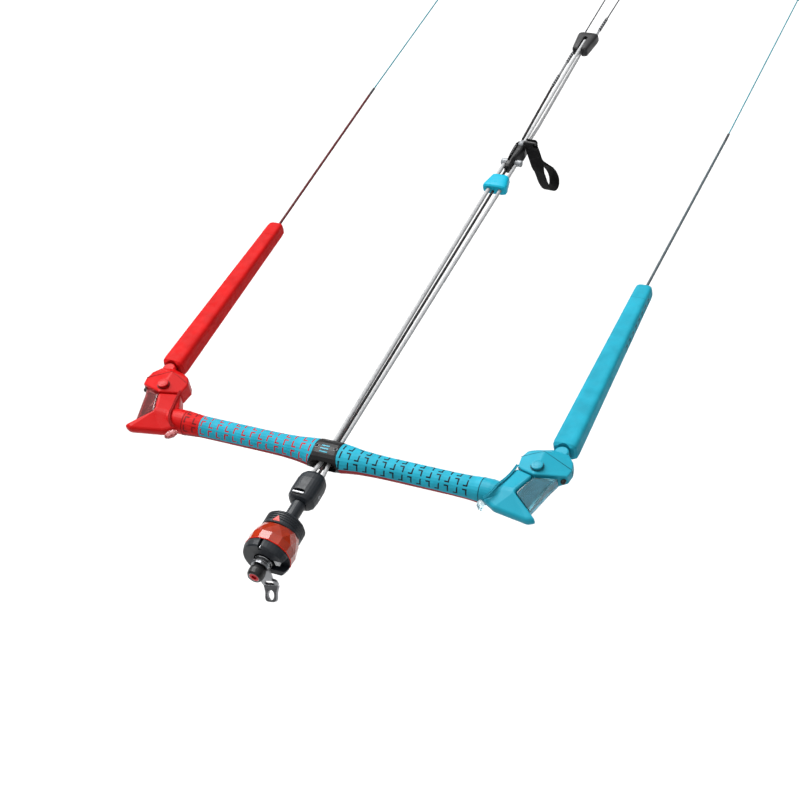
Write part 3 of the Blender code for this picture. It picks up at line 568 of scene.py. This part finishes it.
def webbing_look():
    """Woven black webbing: ribs along it and a herringbone across them, with painted shade in the
    grooves of the weave.
    """
    look = Look("webbing")
    u, along, _ = look.axes("UV")
    across = look.times(u, STRAP_WIDTH)
    slant = look.plus(along, look.times(look.math("PINGPONG", across, 1.0), 0.9))
    yarn = look.plus(look.times(look.wave(across), 0.6), 0.4)
    height = look.times(look.wave(slant), yarn)
    # Painted shade: the colour darkens into the grooves of the weave and lightens on the rib tops.
    look.colour(height, ((0.05, (0.001, 0.001, 0.0012)), (0.6, (0.005, 0.005, 0.0055)),
                         (1.0, (0.014, 0.014, 0.015))))
    look.rough(look.noise(2000.0), 0.65, 0.95)
    look.bump(height, 0.8, 0.0003)
    look.bump(look.noise(6000.0, 3.0), 0.3, 0.00005)
    look.set(Specular_IOR_Level=0.15)
    return look


def carbon_look():
    """Core tube: dark fibre wound at a slant round the bar's axis, with painted shade between the
    wound bands.
    """
    look = Look("carbon_tube")
    x, y, z = look.axes()
    turn = look.math("ARCTAN2", z, look.minus(y, BAR_Y * MM))
    weave = look.wave(look.plus(look.times(x, 500.0), look.times(turn, 4.0)))
    # Painted shade: darker in the sunk seams between wound bands, lighter on their crowns.
    look.colour(weave, ((0.2, (0.008, 0.008, 0.009)), (0.8, (0.035, 0.035, 0.038))))
    look.rough(look.noise(400.0), 0.2, 0.4)
    look.bump(weave, 0.3, 0.0001)
    return look


def wound_look(name, red):
    """Spare line wound in flat layers: slanting strands, each a little darker or lighter, with
    painted shade towards the edges of each strand.
    """
    look = Look(name)
    x, y, _ = look.axes()
    run = look.minus(look.times(x, 560.0), look.times(y, -170.0 if red else 170.0))
    run = look.plus(run, look.times(look.noise(40.0, 2.0), 0.7))
    strand, rest = look.steps(run)
    round_top = look.math("SINE", look.times(rest, math.pi))
    shade = look.node("ShaderNodeTexWhiteNoise", noise_dimensions="1D")
    look.link(strand, shade.inputs["W"])
    tones = ((0.012, 0.10, 0.13), (0.018, 0.14, 0.18), (0.10, 0.28, 0.32))
    if red:
        tones = ((0.08, 0.005, 0.005), (0.12, 0.008, 0.009), (0.26, 0.08, 0.08))
    tone = look.ramp(shade.outputs["Value"], tuple(zip((0.0, 0.85, 1.0), tones)))
    # Painted shade: each strand darkens towards its edges, half-way to the dark colour, as if
    # shaded in the grooves between strands.
    strand_edge_shade_painted = look.ramp(round_top, ((0.0, 0.5), (0.4, 1.0)))
    look.paint(look.mix(strand_edge_shade_painted, (0.008, 0.02, 0.025), tone))
    look.rough(look.noise(1500.0), 0.6, 0.9)
    look.bump(round_top, 0.5, 0.0004)
    look.bump(look.noise(5000.0), 0.3, 0.00006)
    return look


def dress_nodes():
    """A material for every CAD node that is seen as it is."""
    dress(metal("polished_steel", (0.28, 0.285, 0.295), 0.16), "stud_shaft", "stud_washer",
          "housing_pin", "release_spring", "swivel_pin", "line_guide", "block_pin")
    dress(metal("brushed_latch", (0.38, 0.39, 0.40), 0.30), "latch_bolt")
    dress(metal("dark_screws", (0.030, 0.030, 0.032), 0.35), "hub_screw_left", "hub_screw_right")
    dress(metal("satin_steel", (0.22, 0.225, 0.235), 0.26), "leash_plate")
    dress(metal("red_screw", (0.36, 0.02, 0.025), 0.25), "stud_screw")
    dress(moulded("ball_rubber", (0.004, 0.004, 0.0045), 0.38, 900.0, 0.00006), "stud_ball")
    dress(moulded("release_plastic", GREY, 0.42, 1800.0, 0.00004), "release_housing",
          "release_sleeve", "neck_shaft", "swivel_body")
    dress(moulded("hub_plastic", BLACK, 0.42, 1600.0, 0.00004), "hub_shell")
    deep = tuple(c * 1.12 for c in CYAN)
    for name, colour, mark, low, high in (
            ("grip_right", deep, (0.004, 0.005, 0.006), 17.0, 161.0),
            ("grip_left_inner", deep, (0.34, 0.008, 0.012), 17.0, 151.0),
            ("grip_left_outer", RED, (0.12, 0.003, 0.004), 150.0, 170.0)):
        dress(grip_look(name, colour, mark, low, high), name)
    dress(carbon_look(), "core_tube_left", "core_tube_right")
    for word, colour, window, toggle in (
            ("left", RED, (0.55, 0.14, 0.14), (0.60, 0.20, 0.20)),
            ("right", CYAN, (0.20, 0.60, 0.72), (0.50, 0.64, 0.68))):
        plastic = moulded("end_plastic_" + word, colour, 0.36, 1500.0, 0.00003, 0.05,
                          Specular_IOR_Level=0.12)
        dress(plastic, "end_frame_" + word, "end_cap_" + word, "end_button_" + word)
        dress(float_look("float_foam_" + word, colour, word == "right"), "float_" + word)
        dress(clear_plastic("window_" + word, window), "end_window_" + word)
        dress(clear_plastic("toggle_" + word, toggle, 0.10), "toggle_" + word)
        dress(wound_look("wound_line_" + word, word == "left"), "line_winding_" + word)
    dress(moulded("stopper_plastic", (0.002, 0.30, 0.43), 0.34, 1300.0, 0.00003, 0.04,
                  Specular_IOR_Level=0.12), "stopper")
    dress(moulded("cleat_plastic", BLACK, 0.38, 1400.0, 0.00005), "cleat_body")
    dress(milky_plastic(), "cleat_thimble")
    dress(moulded("pin_plastic", BLACK, 0.35), "pull_pin")
    dress(moulded("block_plastic", (0.010, 0.010, 0.011), 0.42, 1500.0, 0.00004), "trim_block")


dress_nodes()


# ---- ropes
def build_ropes():
    """All ropes, from the swivel to the line ends."""
    dark_look = braid("braid_safety", (0.016, 0.017, 0.018), (0.07, 0.03, 0.03), 0.08)
    white_look = braid("braid_trim", *ROPE_WHITE, 0.06)
    for word, radius, tones, share, points in (
            ("left", 2.3, ((0.36, 0.365, 0.37), (0.24, 0.24, 0.25)), 0.1,
             [(-6.4, 126.0, 0.0), (-6.2, 140.0, 0.0), (-4.0, 156.0, 0.0), (-3.6, 190.0, 0.0),
              (-7.2, 600.0, 0.0), (-7.2, 657.0, 0.0)]),
            ("right", 2.0, ((0.33, 0.335, 0.34), (0.22, 0.22, 0.23)), 0.12,
             [(7.0, 126.0, 0.0), (6.6, 140.0, 0.0), (4.9, 156.0, 0.0), (4.7, 190.0, 0.0),
              (7.2, 600.0, 0.0), (7.2, 657.0, 0.0)])):
        look = braid("braid_depower_" + word, *tones, share)
        rope("rope_depower_" + word, "depower_line_" + word, points, radius, look, "trunk",
             stiffness="medium")
    rope("rope_safety", "safety_line", [
        (0.6, 126.0, 0.0), (0.7, 156.0, 0.0), (0.4, 190.0, -0.6), (-1.6, 600.0, -1.6),
        (-1.6, 646.0, -1.6), (-1.2, 700.0, 1.0)], SAFETY_RADIUS, dark_look, "trunk", 10)
    build_safety_end(dark_look)
    span, bend = 197.0, 3.9
    for word, first, points in (
            ("upper", 4.6, [(3.4, 697.6, 4.6), (2.6, 740.0, 4.4), (0.0, 894.6, bend)]),
            ("lower", -0.2, [(5.4, 697.6, -0.2), (4.4, 740.0, -3.0), (0.0, 894.6, -bend)])):
        strand = rope("rope_trim_" + word, "trim_strand_" + word, points, TRIM_RADIUS,
                      white_look, "trunk")
        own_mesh(strand)
    arc = [(0.0, 914.0 + bend * math.sin(math.pi * k / 16), bend * math.cos(math.pi * k / 16))
           for k in range(17)]
    rope("rope_trim_turn", "trim_turn", [(0.0, 894.9, bend), *arc, (0.0, 894.9, -bend)],
         TRIM_RADIUS, white_look, "trim")
    build_outer_lines()
    build_front_lines()
    build_bungees()


def build_safety_end(dark_look):
    """Safety line above the cleat: dark rope, a striped splice, then thin line up to the block."""
    low, high = (-7.4, 819.0, 0.0), (-7.66, 841.0, 0.0)
    strand = rope("rope_safety_end", "safety_strand", [
        (-1.15, 700.4, 1.0), (-2.8, 708.0, 1.0), (-5.2, 762.0, 0.4), low, high,
        (-8.0, 868.6, 0.0)], SAFETY_RADIUS, dark_look, "trunk")
    pale = braid("braid_safety_thin", (0.20, 0.205, 0.21), (0.10, 0.10, 0.11), 0.1)
    strand.data.materials.append(pale.mat)
    for face in strand.data.polygons:
        if face.center.y > high[1] * MM:
            face.material_index = 1
    splice = wrapping("safety_splice", (-7.38, 817.0, 0.0), (-7.7, 844.0, 0.0), 1.95,
                      striped_sewing("splice_stripes"), "trunk")
    for piece in (strand, splice):
        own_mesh(piece)


def build_outer_lines():
    """Leaders out of the bar ends, through the floats, and the outer lines looped to them."""
    radius = 0.8
    line_look = braid("braid_outer_line", (0.025, 0.22, 0.27), (0.01, 0.11, 0.14), 0.1)
    sewn_look = thread_wrapped("sewn_outer", (0.025, 0.17, 0.21))
    for side, word, tones in (
            (-1, "left", ((0.10, 0.020, 0.022), (0.15, 0.08, 0.08))),
            (1, "right", ((0.075, 0.095, 0.105), (0.12, 0.14, 0.15)))):
        body = "float_arm_" + word
        points = [(side * 230.0, 226.0, 0.0), (side * 230.0, 240.0, 0.0),
                  (side * 228.4, 486.0, 0.0), (side * 234.0, 762.0, 0.0)]
        rope("rope_leader_" + word, "leader_" + word, points, LEADER_RADIUS,
             braid("braid_leader_" + word, *tones, 0.12), body, 10, far_end="knot")
        start, end = (side * 234.0, 762.3, 0.0), (side * 236.0, LINE_END, 0.0)
        loop = sewn_loop("line_end_outer_" + word, end, sewn_look, line_look, radius, body)
        rope("rope_outer_" + word, "steering_line_" + word, [start, end], radius, line_look,
             body, 8, far_end="fitting", with_pieces=[loop])
        wrapping("splice_" + word, (side * 233.85, 752.0, 0.0), (side * 234.05, 770.0, 0.0), 1.55,
                 thread_wrapped("splice_look_" + word, (0.04, 0.045, 0.05)), body)


def build_front_lines():
    """The two front lines from the block, and the sewn ends below and above it."""
    radius, leg_radius, leg_gap = 0.85, 0.9, 0.85
    line_look = braid("braid_front_line", (0.055, 0.058, 0.065), (0.10, 0.10, 0.11), 0.12)
    sewn_look = thread_wrapped("sewn_front", (0.06, 0.065, 0.07))
    for side, word in SIDES:
        start, end = (side * 8.0, 894.6, 0.0), (side * 9.6, LINE_END, 0.0)
        loop = sewn_loop("line_end_front_" + word, end, sewn_look, line_look, radius, "trim")
        rope("rope_front_" + word, "front_line_" + word, [start, end], radius, line_look,
             "trim", 8, far_end="fitting", with_pieces=[loop])
    stripes = striped_sewing("sewn_stripes")
    end_left = wrapping("sewn_end_below_block", (-8.0, 869.0, 0.0), (-8.0, 894.2, 0.0), 2.0,
                        stripes, "trim")
    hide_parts("sewn_end_left")
    pale = braid("braid_loop_leg", (0.30, 0.305, 0.31), (0.20, 0.20, 0.21), 0.1)
    legs = bmesh.new()
    for shift in (-leg_gap, leg_gap):
        leg = [(8.0 + shift, 928.0, 0.0), (8.1 + shift, 938.0, 0.0),
               (8.2 + shift * 0.6, 948.0, 0.0)]
        rope_into(legs, resample(metres(leg), ROPE_STEP * MM), leg_radius * MM, 8)
    add_mesh("front_loop_legs", legs, pale, "trim")
    wrapping("sewn_end_above_block", (8.14, 944.0, 0.0), (8.46, 975.0, 0.0), 2.1, stripes, "trim")


def build_bungees():
    """A doubled bungee from each bar end round to its toggle."""
    radius, gap = 0.7, 0.75
    looks = {"left": braid("braid_bungee_left", (0.30, 0.007, 0.007), (0.20, 0.005, 0.005)),
             "right": braid("braid_bungee_right", (0.014, 0.24, 0.33), (0.010, 0.16, 0.22))}
    route = [(196.0, 199.6, 10.6), (194.6, 190.0, 10.7), (192.8, 181.6, 11.4),
             (190.4, 174.0, 12.4), (188.6, 167.6, 13.9), (187.0, 162.0, 13.5),
             (184.8, 157.2, 11.8), (181.6, 153.8, 9.2), (178.6, 152.6, 7.4)]
    for side, word in SIDES:
        centre = smooth_route(metres([(side * x, y, z) for x, y, z in route]), 30)
        for number, shift in ((1, -gap), (2, gap)):
            points = [p + a * shift * MM for p, a, _ in frames_along(centre)]
            strand = add_mesh(f"bungee_{word}_strand_{number}",
                              rope_into(bmesh.new(), points, radius * MM, 8), looks[word], "bar")
            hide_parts("bungee_" + word)


def smooth_route(points, count):
    """A smooth curve through points, as count + 1 points of its own."""
    ends = [points[0] * 2 - points[1], *points, points[-1] * 2 - points[-2]]
    result = []
    spans = len(points) - 1
    for k in range(count + 1):
        place = min(k * spans / count, spans - 1e-6)
        i = int(place)
        t = place - i
        p0, p1, p2, p3 = ends[i:i + 4]
        result.append(0.5 * (2 * p1 + (p2 - p0) * t + (2 * p0 - 5 * p1 + 4 * p2 - p3) * t ** 2
                             + (3 * p1 - p0 - 3 * p2 + p3) * t ** 3))
    return result


def thread_wrapped(name, colour):
    """Sewing thread wrapped round a rope: fine rings along the piece, on UV, with painted shade
    between the rings.
    """
    look = Look(name)
    u, v, _ = look.axes("UV")
    ring = look.wave(look.plus(look.times(v, 22.0), u))
    dark, light = shades(colour, 0.25)
    # Painted shade: the colour darkens into the grooves between the thread rings and lightens on
    # their crowns.
    look.colour(ring, ((0.05, tuple(c * 0.4 for c in colour)), (0.6, dark), (1.0, light)))
    look.rough(look.noise(2500.0), 0.55, 0.85)
    look.bump(ring, 0.7, 0.0002)
    look.bump(look.noise(5000.0), 0.3, 0.00006)
    return look


def striped_sewing(name):
    """Dark sewn rope end with slanting pale threads."""
    look = Look(name)
    u, v, _ = look.axes("UV")
    stripe = look.wave(look.plus(look.times(v, 2.6), u))
    look.paint(look.mix(look.ramp(stripe, ((0.86, 0.0), (0.94, 1.0))), (0.006, 0.006, 0.007),
                        (0.26, 0.27, 0.28)))
    look.rough(look.noise(2500.0), 0.6, 0.9)
    look.bump(stripe, 0.7, 0.0003)
    look.bump(look.noise(5000.0), 0.3, 0.00006)
    return look


def wrapping(name, start, end, radius, look, body):
    """Slightly lumpy sewn or wrapped stretch of a rope, with rounded ends."""
    a, b = Vector(start) * MM, Vector(end) * MM
    bm = bmesh.new()
    sides, count = 14, 26
    rows = []
    stations = frames_along([a.lerp(b, k / count) for k in range(count + 1)])
    for k, (point, across, up) in enumerate(stations):
        share = k / count
        end_round = min(1.0, math.sqrt(min(share, 1.0 - share) * 12.0) * 0.55 + 0.45)
        lumps = 1.0 - 0.05 * math.sin(share * 40.0) ** 2
        rows.append(row_round(bm, point, across, up, radius * MM * end_round * lumps, sides))
    span = (b - a).length / (2.0 * math.pi * radius * MM)
    skin(bm, rows, [k / sides for k in range(sides + 1)],
         [k / count * span for k in range(count + 1)])
    cap_ends(bm, rows)
    return add_mesh(name, bm, look, body)


def sewn_loop(name, end, sewn_look, line_look, radius, body):
    """Loop at a line's end: the line turned back on itself, its neck wrapped with thread."""
    x, y = end[0], end[1] - 2.0
    half, bend, top = 3.1, 28.5, 32.6
    points = [(x - 0.55, y + 0.5, 0.0), (x - 0.55, y + 13.0, 0.0), (x - 1.2, y + 17.0, 0.0),
              (x - half, y + 22.0, 0.0), (x - half, y + bend, 0.0)]
    returning = [(2 * x - px, py, pz) for px, py, pz in reversed(points)]
    for k in range(1, 8):
        t = math.pi * k / 8
        points.append((x - half * math.cos(t), y + bend + (top - bend) * math.sin(t), 0.0))
    route = smooth_route(metres(points + returning), 60)
    bm = rope_into(bmesh.new(), route, radius * MM * 0.98, 8)
    loop = add_mesh(name, bm, line_look, body)
    neck = wrapping(name + "_neck", (x, y + 0.6, 0.0), (x, y + 15.0, 0.0), 1.5, sewn_look, body)
    neck.parent = loop
    neck.matrix_parent_inverse = loop.matrix_world.inverted()
    return loop


# ---- detail pieces
def strap_axes(along):
    """The strap's down, across and face directions at a place along it. It twists, as in the
    CAD: stops are places in millimetres and degrees of turn."""
    stops = [(2.0, 55.0), (14.0, 14.0), (27.0, 14.0), (44.0, 55.0)]
    turn = stops[0][1]
    for (start, low), (end, high) in zip(stops, stops[1:]):
        share = min(1.0, max(0.0, (along - start) / (end - start)))
        turn += (high - low) * share * share * (3.0 - 2.0 * share)
    down = Vector((0.182, 0.0, -0.983)).normalized()
    flat = Vector((0.742, 0.656, 0.137))
    flat = (flat - down * flat.dot(down)).normalized()
    face = down.cross(flat)
    c, s = math.cos(math.radians(turn)), math.sin(math.radians(turn))
    return down, flat * c + face * s, face * c - flat * s


def build_strap():
    """Webbing strap: round the pull pin, two layers sewn together, then the finger loop."""
    pin = Vector((16.9, 685.8, 14.0))
    centre = [(3.4, -2.6), (4.4, 1.2), (2.8, 5.0), (1.2, 9.0), (1.2, 18.0), (1.2, 27.0),
              (1.2, 36.0), (0.8, 46.0), (0.6, 57.0), (-1.2, 66.0), (-4.8, 72.4), (-10.0, 75.0),
              (-15.2, 73.0), (-18.8, 67.0), (-19.4, 58.0), (-16.0, 47.0), (-9.0, 37.0),
              (-3.0, 29.0), (-1.2, 23.0), (-1.2, 16.0), (-1.2, 9.0), (-2.8, 5.0), (-4.4, 1.2),
              (-3.4, -2.6)]
    curve = smooth_route([Vector((u, v, 0.0)) for u, v in centre], 150)
    middle = []
    for u, v, _ in curve:
        down, _, side = strap_axes(v)
        middle.append(pin + down * v + side * u)
    half, thick = STRAP_WIDTH / 2.0, 0.8
    section = [(-half, 0.0), (-7.3, 0.55), (-6.6, 0.78), (0.0, thick), (6.6, 0.78), (7.3, 0.55),
               (half, 0.0), (7.3, -0.55), (6.6, -0.78), (0.0, -thick), (-6.6, -0.78),
               (-7.3, -0.55)]
    bm = bmesh.new()
    rows, runs, run = [], [], 0.0
    surface = []
    for i, point in enumerate(middle):
        before, after = middle[max(0, i - 1)], middle[min(len(middle) - 1, i + 1)]
        across = strap_axes(curve[i][1])[1]
        normal = (after - before).cross(across).normalized()
        run += (point - before).length
        runs.append(run / WEAVE_PITCH)
        surface.append((point, across, normal))
        rows.append([bm.verts.new((point + across * a + normal * b) * MM) for a, b in section])
    skin(bm, rows, [a / STRAP_WIDTH + 0.5 for a, _ in section + section[:1]], runs)
    cap_ends(bm, rows)
    strap = add_mesh("strap_webbing", bm, webbing_look(), "strap", 50.0)
    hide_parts("pull_strap")
    thread = thread_wrapped("strap_thread", (0.022, 0.022, 0.024))
    stitch_rows, stitch, pitch, rise = (0.108, 0.125, 0.19, 0.81, 0.875, 0.892), 1.0, 1.5, 0.22
    stitches = bmesh.new()
    for place in stitch_rows:
        point, across, normal = surface[round(place * (len(surface) - 1))]
        for side in (1, -1):
            for k in range(-4, 5):
                start = point + across * (k * pitch - 0.5) + normal * (thick * side)
                end = start + across * stitch
                bow = (start + end) / 2 + normal * (rise * side)
                rope_into(stitches, [start * MM, bow * MM, end * MM], 0.18 * MM, 6)
    add_mesh("strap_stitches", stitches, thread, "strap")


def ring_of(bm, centre, axis, radius, wire, sides=28, wire_sides=8):
    """Adds a thin closed ring to bm. centre, radius and wire are in millimetres."""
    axis = Vector(axis).normalized()
    first = axis.orthogonal().normalized()
    second = axis.cross(first)
    rows = []
    for t in turns(sides):
        out = first * math.cos(t) + second * math.sin(t)
        rows.append([bm.verts.new((Vector(centre) + out * (radius + wire * math.cos(a))
                                   + axis * wire * math.sin(a)) * MM) for a in turns(wire_sides)])
    skin(bm, rows + rows[:1])
    return bm


def dome_of(bm, centre, axis, radius, height):
    """Adds a low dome to bm, its flat side on centre, closed underneath. All in millimetres."""
    count, sides = 6, 28
    axis = Vector(axis).normalized()
    first = axis.orthogonal().normalized()
    second = axis.cross(first)
    rows = []
    for i in range(count):
        a = 0.5 * math.pi * i / count
        level = (Vector(centre) + axis * height * math.sin(a)) * MM
        rows.append(row_round(bm, level, first, second, radius * MM * math.cos(a), sides))
    top = bm.verts.new((Vector(centre) + axis * height) * MM)
    skin(bm, rows)
    for k in range(sides):
        bm.faces.new((rows[-1][k], rows[-1][(k + 1) % sides], top))
    bm.faces.new(rows[0])
    return bm


def build_faceted_ring():
    """Cut, see-through ring of the release: flat facets between zigzag rows of corners, and its
    underside cut flat. Each row has its place along Y, its radius and its share of a step round."""
    count, flat, arch, arched_from = 14, -21.4, 1.3, 45.0
    rim_radius, rim_y = 24.9, 30.6
    rows_at = [(55.4, 19.4, 0.0), (55.2, 20.9, 0.0), (48.6, 23.2, 0.5), (40.0, 25.4, 0.0),
               (31.0, 24.7, 0.0), (30.5, 23.9, 0.0), (33.6, 20.5, 0.0), (42.0, 19.8, 0.0)]
    bm = bmesh.new()
    rows = []
    for y, radius, shift in rows_at:
        row = []
        for k in range(count):
            t = 2.0 * math.pi * (k + shift) / count
            rise = arch * math.cos(2.0 * t) if y > arched_from else 0.0
            z = max(flat, radius * math.sin(t))
            row.append(bm.verts.new(Vector((radius * math.cos(t), y + rise, z)) * MM))
        rows.append(row)
    for i in range(len(rows)):
        j = (i + 1) % len(rows)
        for k in range(count):
            m = (k + 1) % count
            a, b, c, d = rows[i][k], rows[i][m], rows[j][k], rows[j][m]
            if rows_at[i][2] == rows_at[j][2]:
                bm.faces.new((a, b, d, c))
            elif rows_at[j][2]:
                bm.faces.new((a, b, c))
                bm.faces.new((b, d, c))
            else:
                bm.faces.new((a, b, d))
                bm.faces.new((a, d, c))
    ring = add_mesh("ring_faceted", bm, orange_plastic(), "sleeve", 8.0)
    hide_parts("release_ring")
    rim_look = moulded("ring_rim", (0.50, 0.012, 0.003), 0.25, 800.0, 0.00002, 0.08)
    corners = []
    for k in range(count + 1):
        t = 2.0 * math.pi * k / count
        z = max(flat, rim_radius * math.sin(t))
        corners.append(Vector((rim_radius * math.cos(t), rim_y, z)) * MM)
    rim = rope_into(bmesh.new(), resample(corners, 2.0 * MM), 0.55 * MM, 8)
    add_mesh("ring_rim", rim, rim_look, "sleeve")
    build_pointer(rim_look)


def build_pointer(look):
    """Plain triangle on the release sleeve, bent to its curve."""
    bm = bmesh.new()
    outline = [(0.0, 63.6), (-4.2, 56.8), (4.2, 56.8)]
    levels = [[bm.verts.new(Vector((x, y, math.sqrt(lift * lift - x * x))) * MM)
               for x, y in outline] for lift in (20.6, 21.9)]
    cap_ends(bm, levels)
    skin(bm, levels)
    bmesh.ops.bevel(bm, geom=list(bm.edges), offset=0.3 * MM, segments=2, affect="EDGES")
    add_mesh("sleeve_pointer", bm, look, "sleeve", 30.0)


def build_release_trim():
    """Screw rims of the stud and the swivel, and the dark rim of the swivel's window."""
    steel = metal("trim_steel", (0.40, 0.41, 0.43), 0.16)
    bm = ring_of(bmesh.new(), (0.0, 0.6, 0.0), (0, 1, 0), 5.5, 0.45)
    add_mesh("stud_screw_rim", bm, steel, "stud")
    bm = bmesh.new()
    for centre, out in (((12.3, 114.0, 8.3), (0.72, 0.0, 0.69)),
                        ((15.0, 112.5, -0.7), (1.0, 0.0, -0.05))):
        ring_of(bm, centre, out, 1.5, 0.28, 20, 6)
    add_mesh("swivel_screw_rings", bm, steel, "trunk")
    dark = moulded("window_rim", (0.002, 0.002, 0.0025), 0.3)
    middle_x, middle_y, half_x, half_y, squareness = -1.4, 104.3, 7.1, 3.6, 0.6
    swivel_half, swivel_depth, swivel_fall, swivel_y, fullness = 15.0, 13.0, 0.020, 110.0, 2.4
    outline = []
    for k in range(49):
        c, s = math.cos(2.0 * math.pi * k / 48), math.sin(2.0 * math.pi * k / 48)
        x = middle_x + half_x * math.copysign(abs(c) ** squareness, c)
        y = middle_y + half_y * math.copysign(abs(s) ** squareness, s)
        share = min(1.0, abs(x / swivel_half))
        depth = swivel_depth - swivel_fall * (swivel_y - y) ** 2
        z = depth * (1.0 - share ** fullness) ** (1.0 / fullness)
        outline.append(Vector((x, y, z)) * MM)
    add_mesh("swivel_window_rim", rope_into(bmesh.new(), outline, 0.5 * MM, 8), dark, "trunk")


def build_latch_face():
    """Bright face of the latch."""
    look = metal("latch_face", (0.50, 0.51, 0.52), 0.45)
    look.set(Metallic=0.6)
    tilt = Matrix.Rotation(math.radians(-8.0), 3, "Y")
    bm = bmesh.new()
    made = bmesh.ops.create_cube(bm, size=1.0)["verts"]
    bmesh.ops.scale(bm, vec=Vector((5.0, 0.8, 6.6)) * MM, verts=made)
    bmesh.ops.bevel(bm, geom=list(bm.edges), offset=0.25 * MM, segments=2, affect="EDGES")
    bmesh.ops.rotate(bm, cent=(0, 0, 0), matrix=tilt, verts=bm.verts)
    bmesh.ops.translate(bm, vec=Vector((14.8, 21.6, 1.6)) * MM, verts=bm.verts)
    add_mesh("latch_face", bm, look, "latch", 30.0)


def build_hub_trim():
    """Three short proud bars and two screw rings on the hub."""
    hub_y, hub_z, proud, start, length = 17.0, 14.0, 0.35, -5.6, 9.0
    rings = bmesh.new()
    for x in (-10.6, 10.6):
        ring_of(rings, (x, 165.2, 13.9), (0, 0, 1), 2.1, 0.28, wire_sides=6)
    add_mesh("hub_screw_rings", rings, moulded("screw_ring", (0.16, 0.16, 0.165), 0.4), "bar")
    look = moulded("hub_bars", CYAN, 0.3, 1200.0, 0.00003)
    section = ((-2.6, 0.0), (-2.2, proud), (2.2, proud), (2.6, 0.0))
    bm = bmesh.new()
    for middle in (90.0, 102.0, 114.0):  # degrees round the hub
        rows = []
        for i in range(9):
            row = []
            for offset, lift in section:
                a = math.radians(middle + offset)
                y, z = BAR_Y + (hub_y + lift) * math.cos(a), (hub_z + lift) * math.sin(a)
                row.append(bm.verts.new(Vector((start + length * i / 8, y, z)) * MM))
            rows.append(row)
        skin(bm, rows)
        cap_ends(bm, rows)
    add_mesh("hub_bars", bm, look, "bar", 40.0)


def build_end_trim():
    """Parting lines, button caps and seams, plugs and collar seams of the bar's ends."""
    dark = moulded("plug_rubber", (0.005, 0.005, 0.0055), 0.5)
    route = [(194.4, 213.0, 8.2), (205.6, 216.6, 11.7), (216.6, 219.9, 14.9),
             (217.6, 219.9, 14.9), (232.0, 216.2, 10.5), (247.6, 212.2, 5.5),
             (248.3, 212.0, 3.0), (248.3, 212.0, -3.0)]
    plug = [(203.0, 2.4), (201.4, 2.6), (198.6, 2.5), (197.4, 1.9), (197.0, 1.0)]
    for side, word in SIDES:
        colour = RED if word == "left" else CYAN
        deep = moulded("parting_" + word, tuple(c * 0.22 for c in colour), 0.5)
        points = resample(metres([(side * x, y, z) for x, y, z in route]), 2.0 * MM)
        parting = rope_into(bmesh.new(), points, 0.24 * MM, 6)
        add_mesh("parting_line_" + word, parting, deep, "bar")
        look = moulded("button_" + word, colour, 0.3, 1500.0, 0.00003, 0.06,
                       Specular_IOR_Level=0.2)
        x, y = side * 217.0, 200.5
        dome = dome_of(bmesh.new(), (x, y, 16.75), (0, 0, 1), 5.8, 0.75)
        ring_of(dome, (x, y, 17.25), (0, 0, 1), 3.3, 0.32)
        add_mesh("button_cap_" + word, dome, look, "button_" + word)
        seam = ring_of(bmesh.new(), (x, y, 14.4), (0, 0, 1), 6.5, 0.35, 36, 6)
        add_mesh("button_seam_" + word, seam, deep, "bar")
        bm = bmesh.new()
        rows = [row_round(bm, Vector((side * 243.0, y, 0.0)) * MM, Vector((1, 0, 0)),
                          Vector((0, 0, 1)), radius * MM, 16) for y, radius in plug]
        skin(bm, rows)
        cap_ends(bm, rows)
        add_mesh("end_plug_" + word, bm, dark, "bar")
        collar = ring_of(bmesh.new(), (side * 171.2, BAR_Y, 0.0), (1, 0, 0), 13.1, 0.25, 40, 6)
        add_mesh("collar_seam_" + word, collar, deep, "bar")


def build_cleat_trim():
    """Jaw teeth, the white rope guide at the cleat's kite end, and the trim line's short tail."""
    look = moulded("cleat_teeth", (0.03, 0.03, 0.032), 0.35, 1400.0, 0.00005)
    first_tooth, tooth_pitch, tooth = 668.0, 3.1, Vector((2.6, 1.3, 3.0))
    lean = Matrix.Rotation(math.radians(24.0), 3, "X")
    bm = bmesh.new()
    for number in range(7):
        place = Vector((-2.0, first_tooth + tooth_pitch * number, 7.2)) * MM
        made = bmesh.ops.create_cube(bm, size=1.0)["verts"]
        bmesh.ops.scale(bm, vec=tooth * MM, verts=made)
        bmesh.ops.rotate(bm, cent=(0, 0, 0), matrix=lean, verts=made)
        bmesh.ops.translate(bm, vec=place, verts=made)
    bmesh.ops.bevel(bm, geom=list(bm.edges), offset=0.25 * MM, segments=2, affect="EDGES")
    add_mesh("cleat_teeth", bm, look, "trunk", 40.0)
    guide = bmesh.new()
    bmesh.ops.create_uvsphere(guide, u_segments=24, v_segments=14, radius=1.0)
    for vert in guide.verts:
        x, y, z = vert.co
        vert.co = Vector((4.4 + 5.0 * x, 690.4 + 4.8 * y,
                          8.0 + 3.4 * z * (1.0 - 0.25 * x * x))) * MM
    add_mesh("cleat_guide", guide, milky_plastic(), "trunk")
    tail = ((6.4, 690.6, 7.6), (7.2, 689.8, 10.2), (8.4, 688.6, 12.0), (10.0, 687.6, 13.0))
    add_mesh("trim_tail", rope_into(bmesh.new(), smooth_route(metres(tail), 16), 1.4 * MM, 10),
             braid("braid_tail", *ROPE_WHITE, 0.06), "trunk")


build_ropes()
build_strap()
build_faceted_ring()
build_release_trim()
build_latch_face()
build_hub_trim()
build_end_trim()
build_cleat_trim()
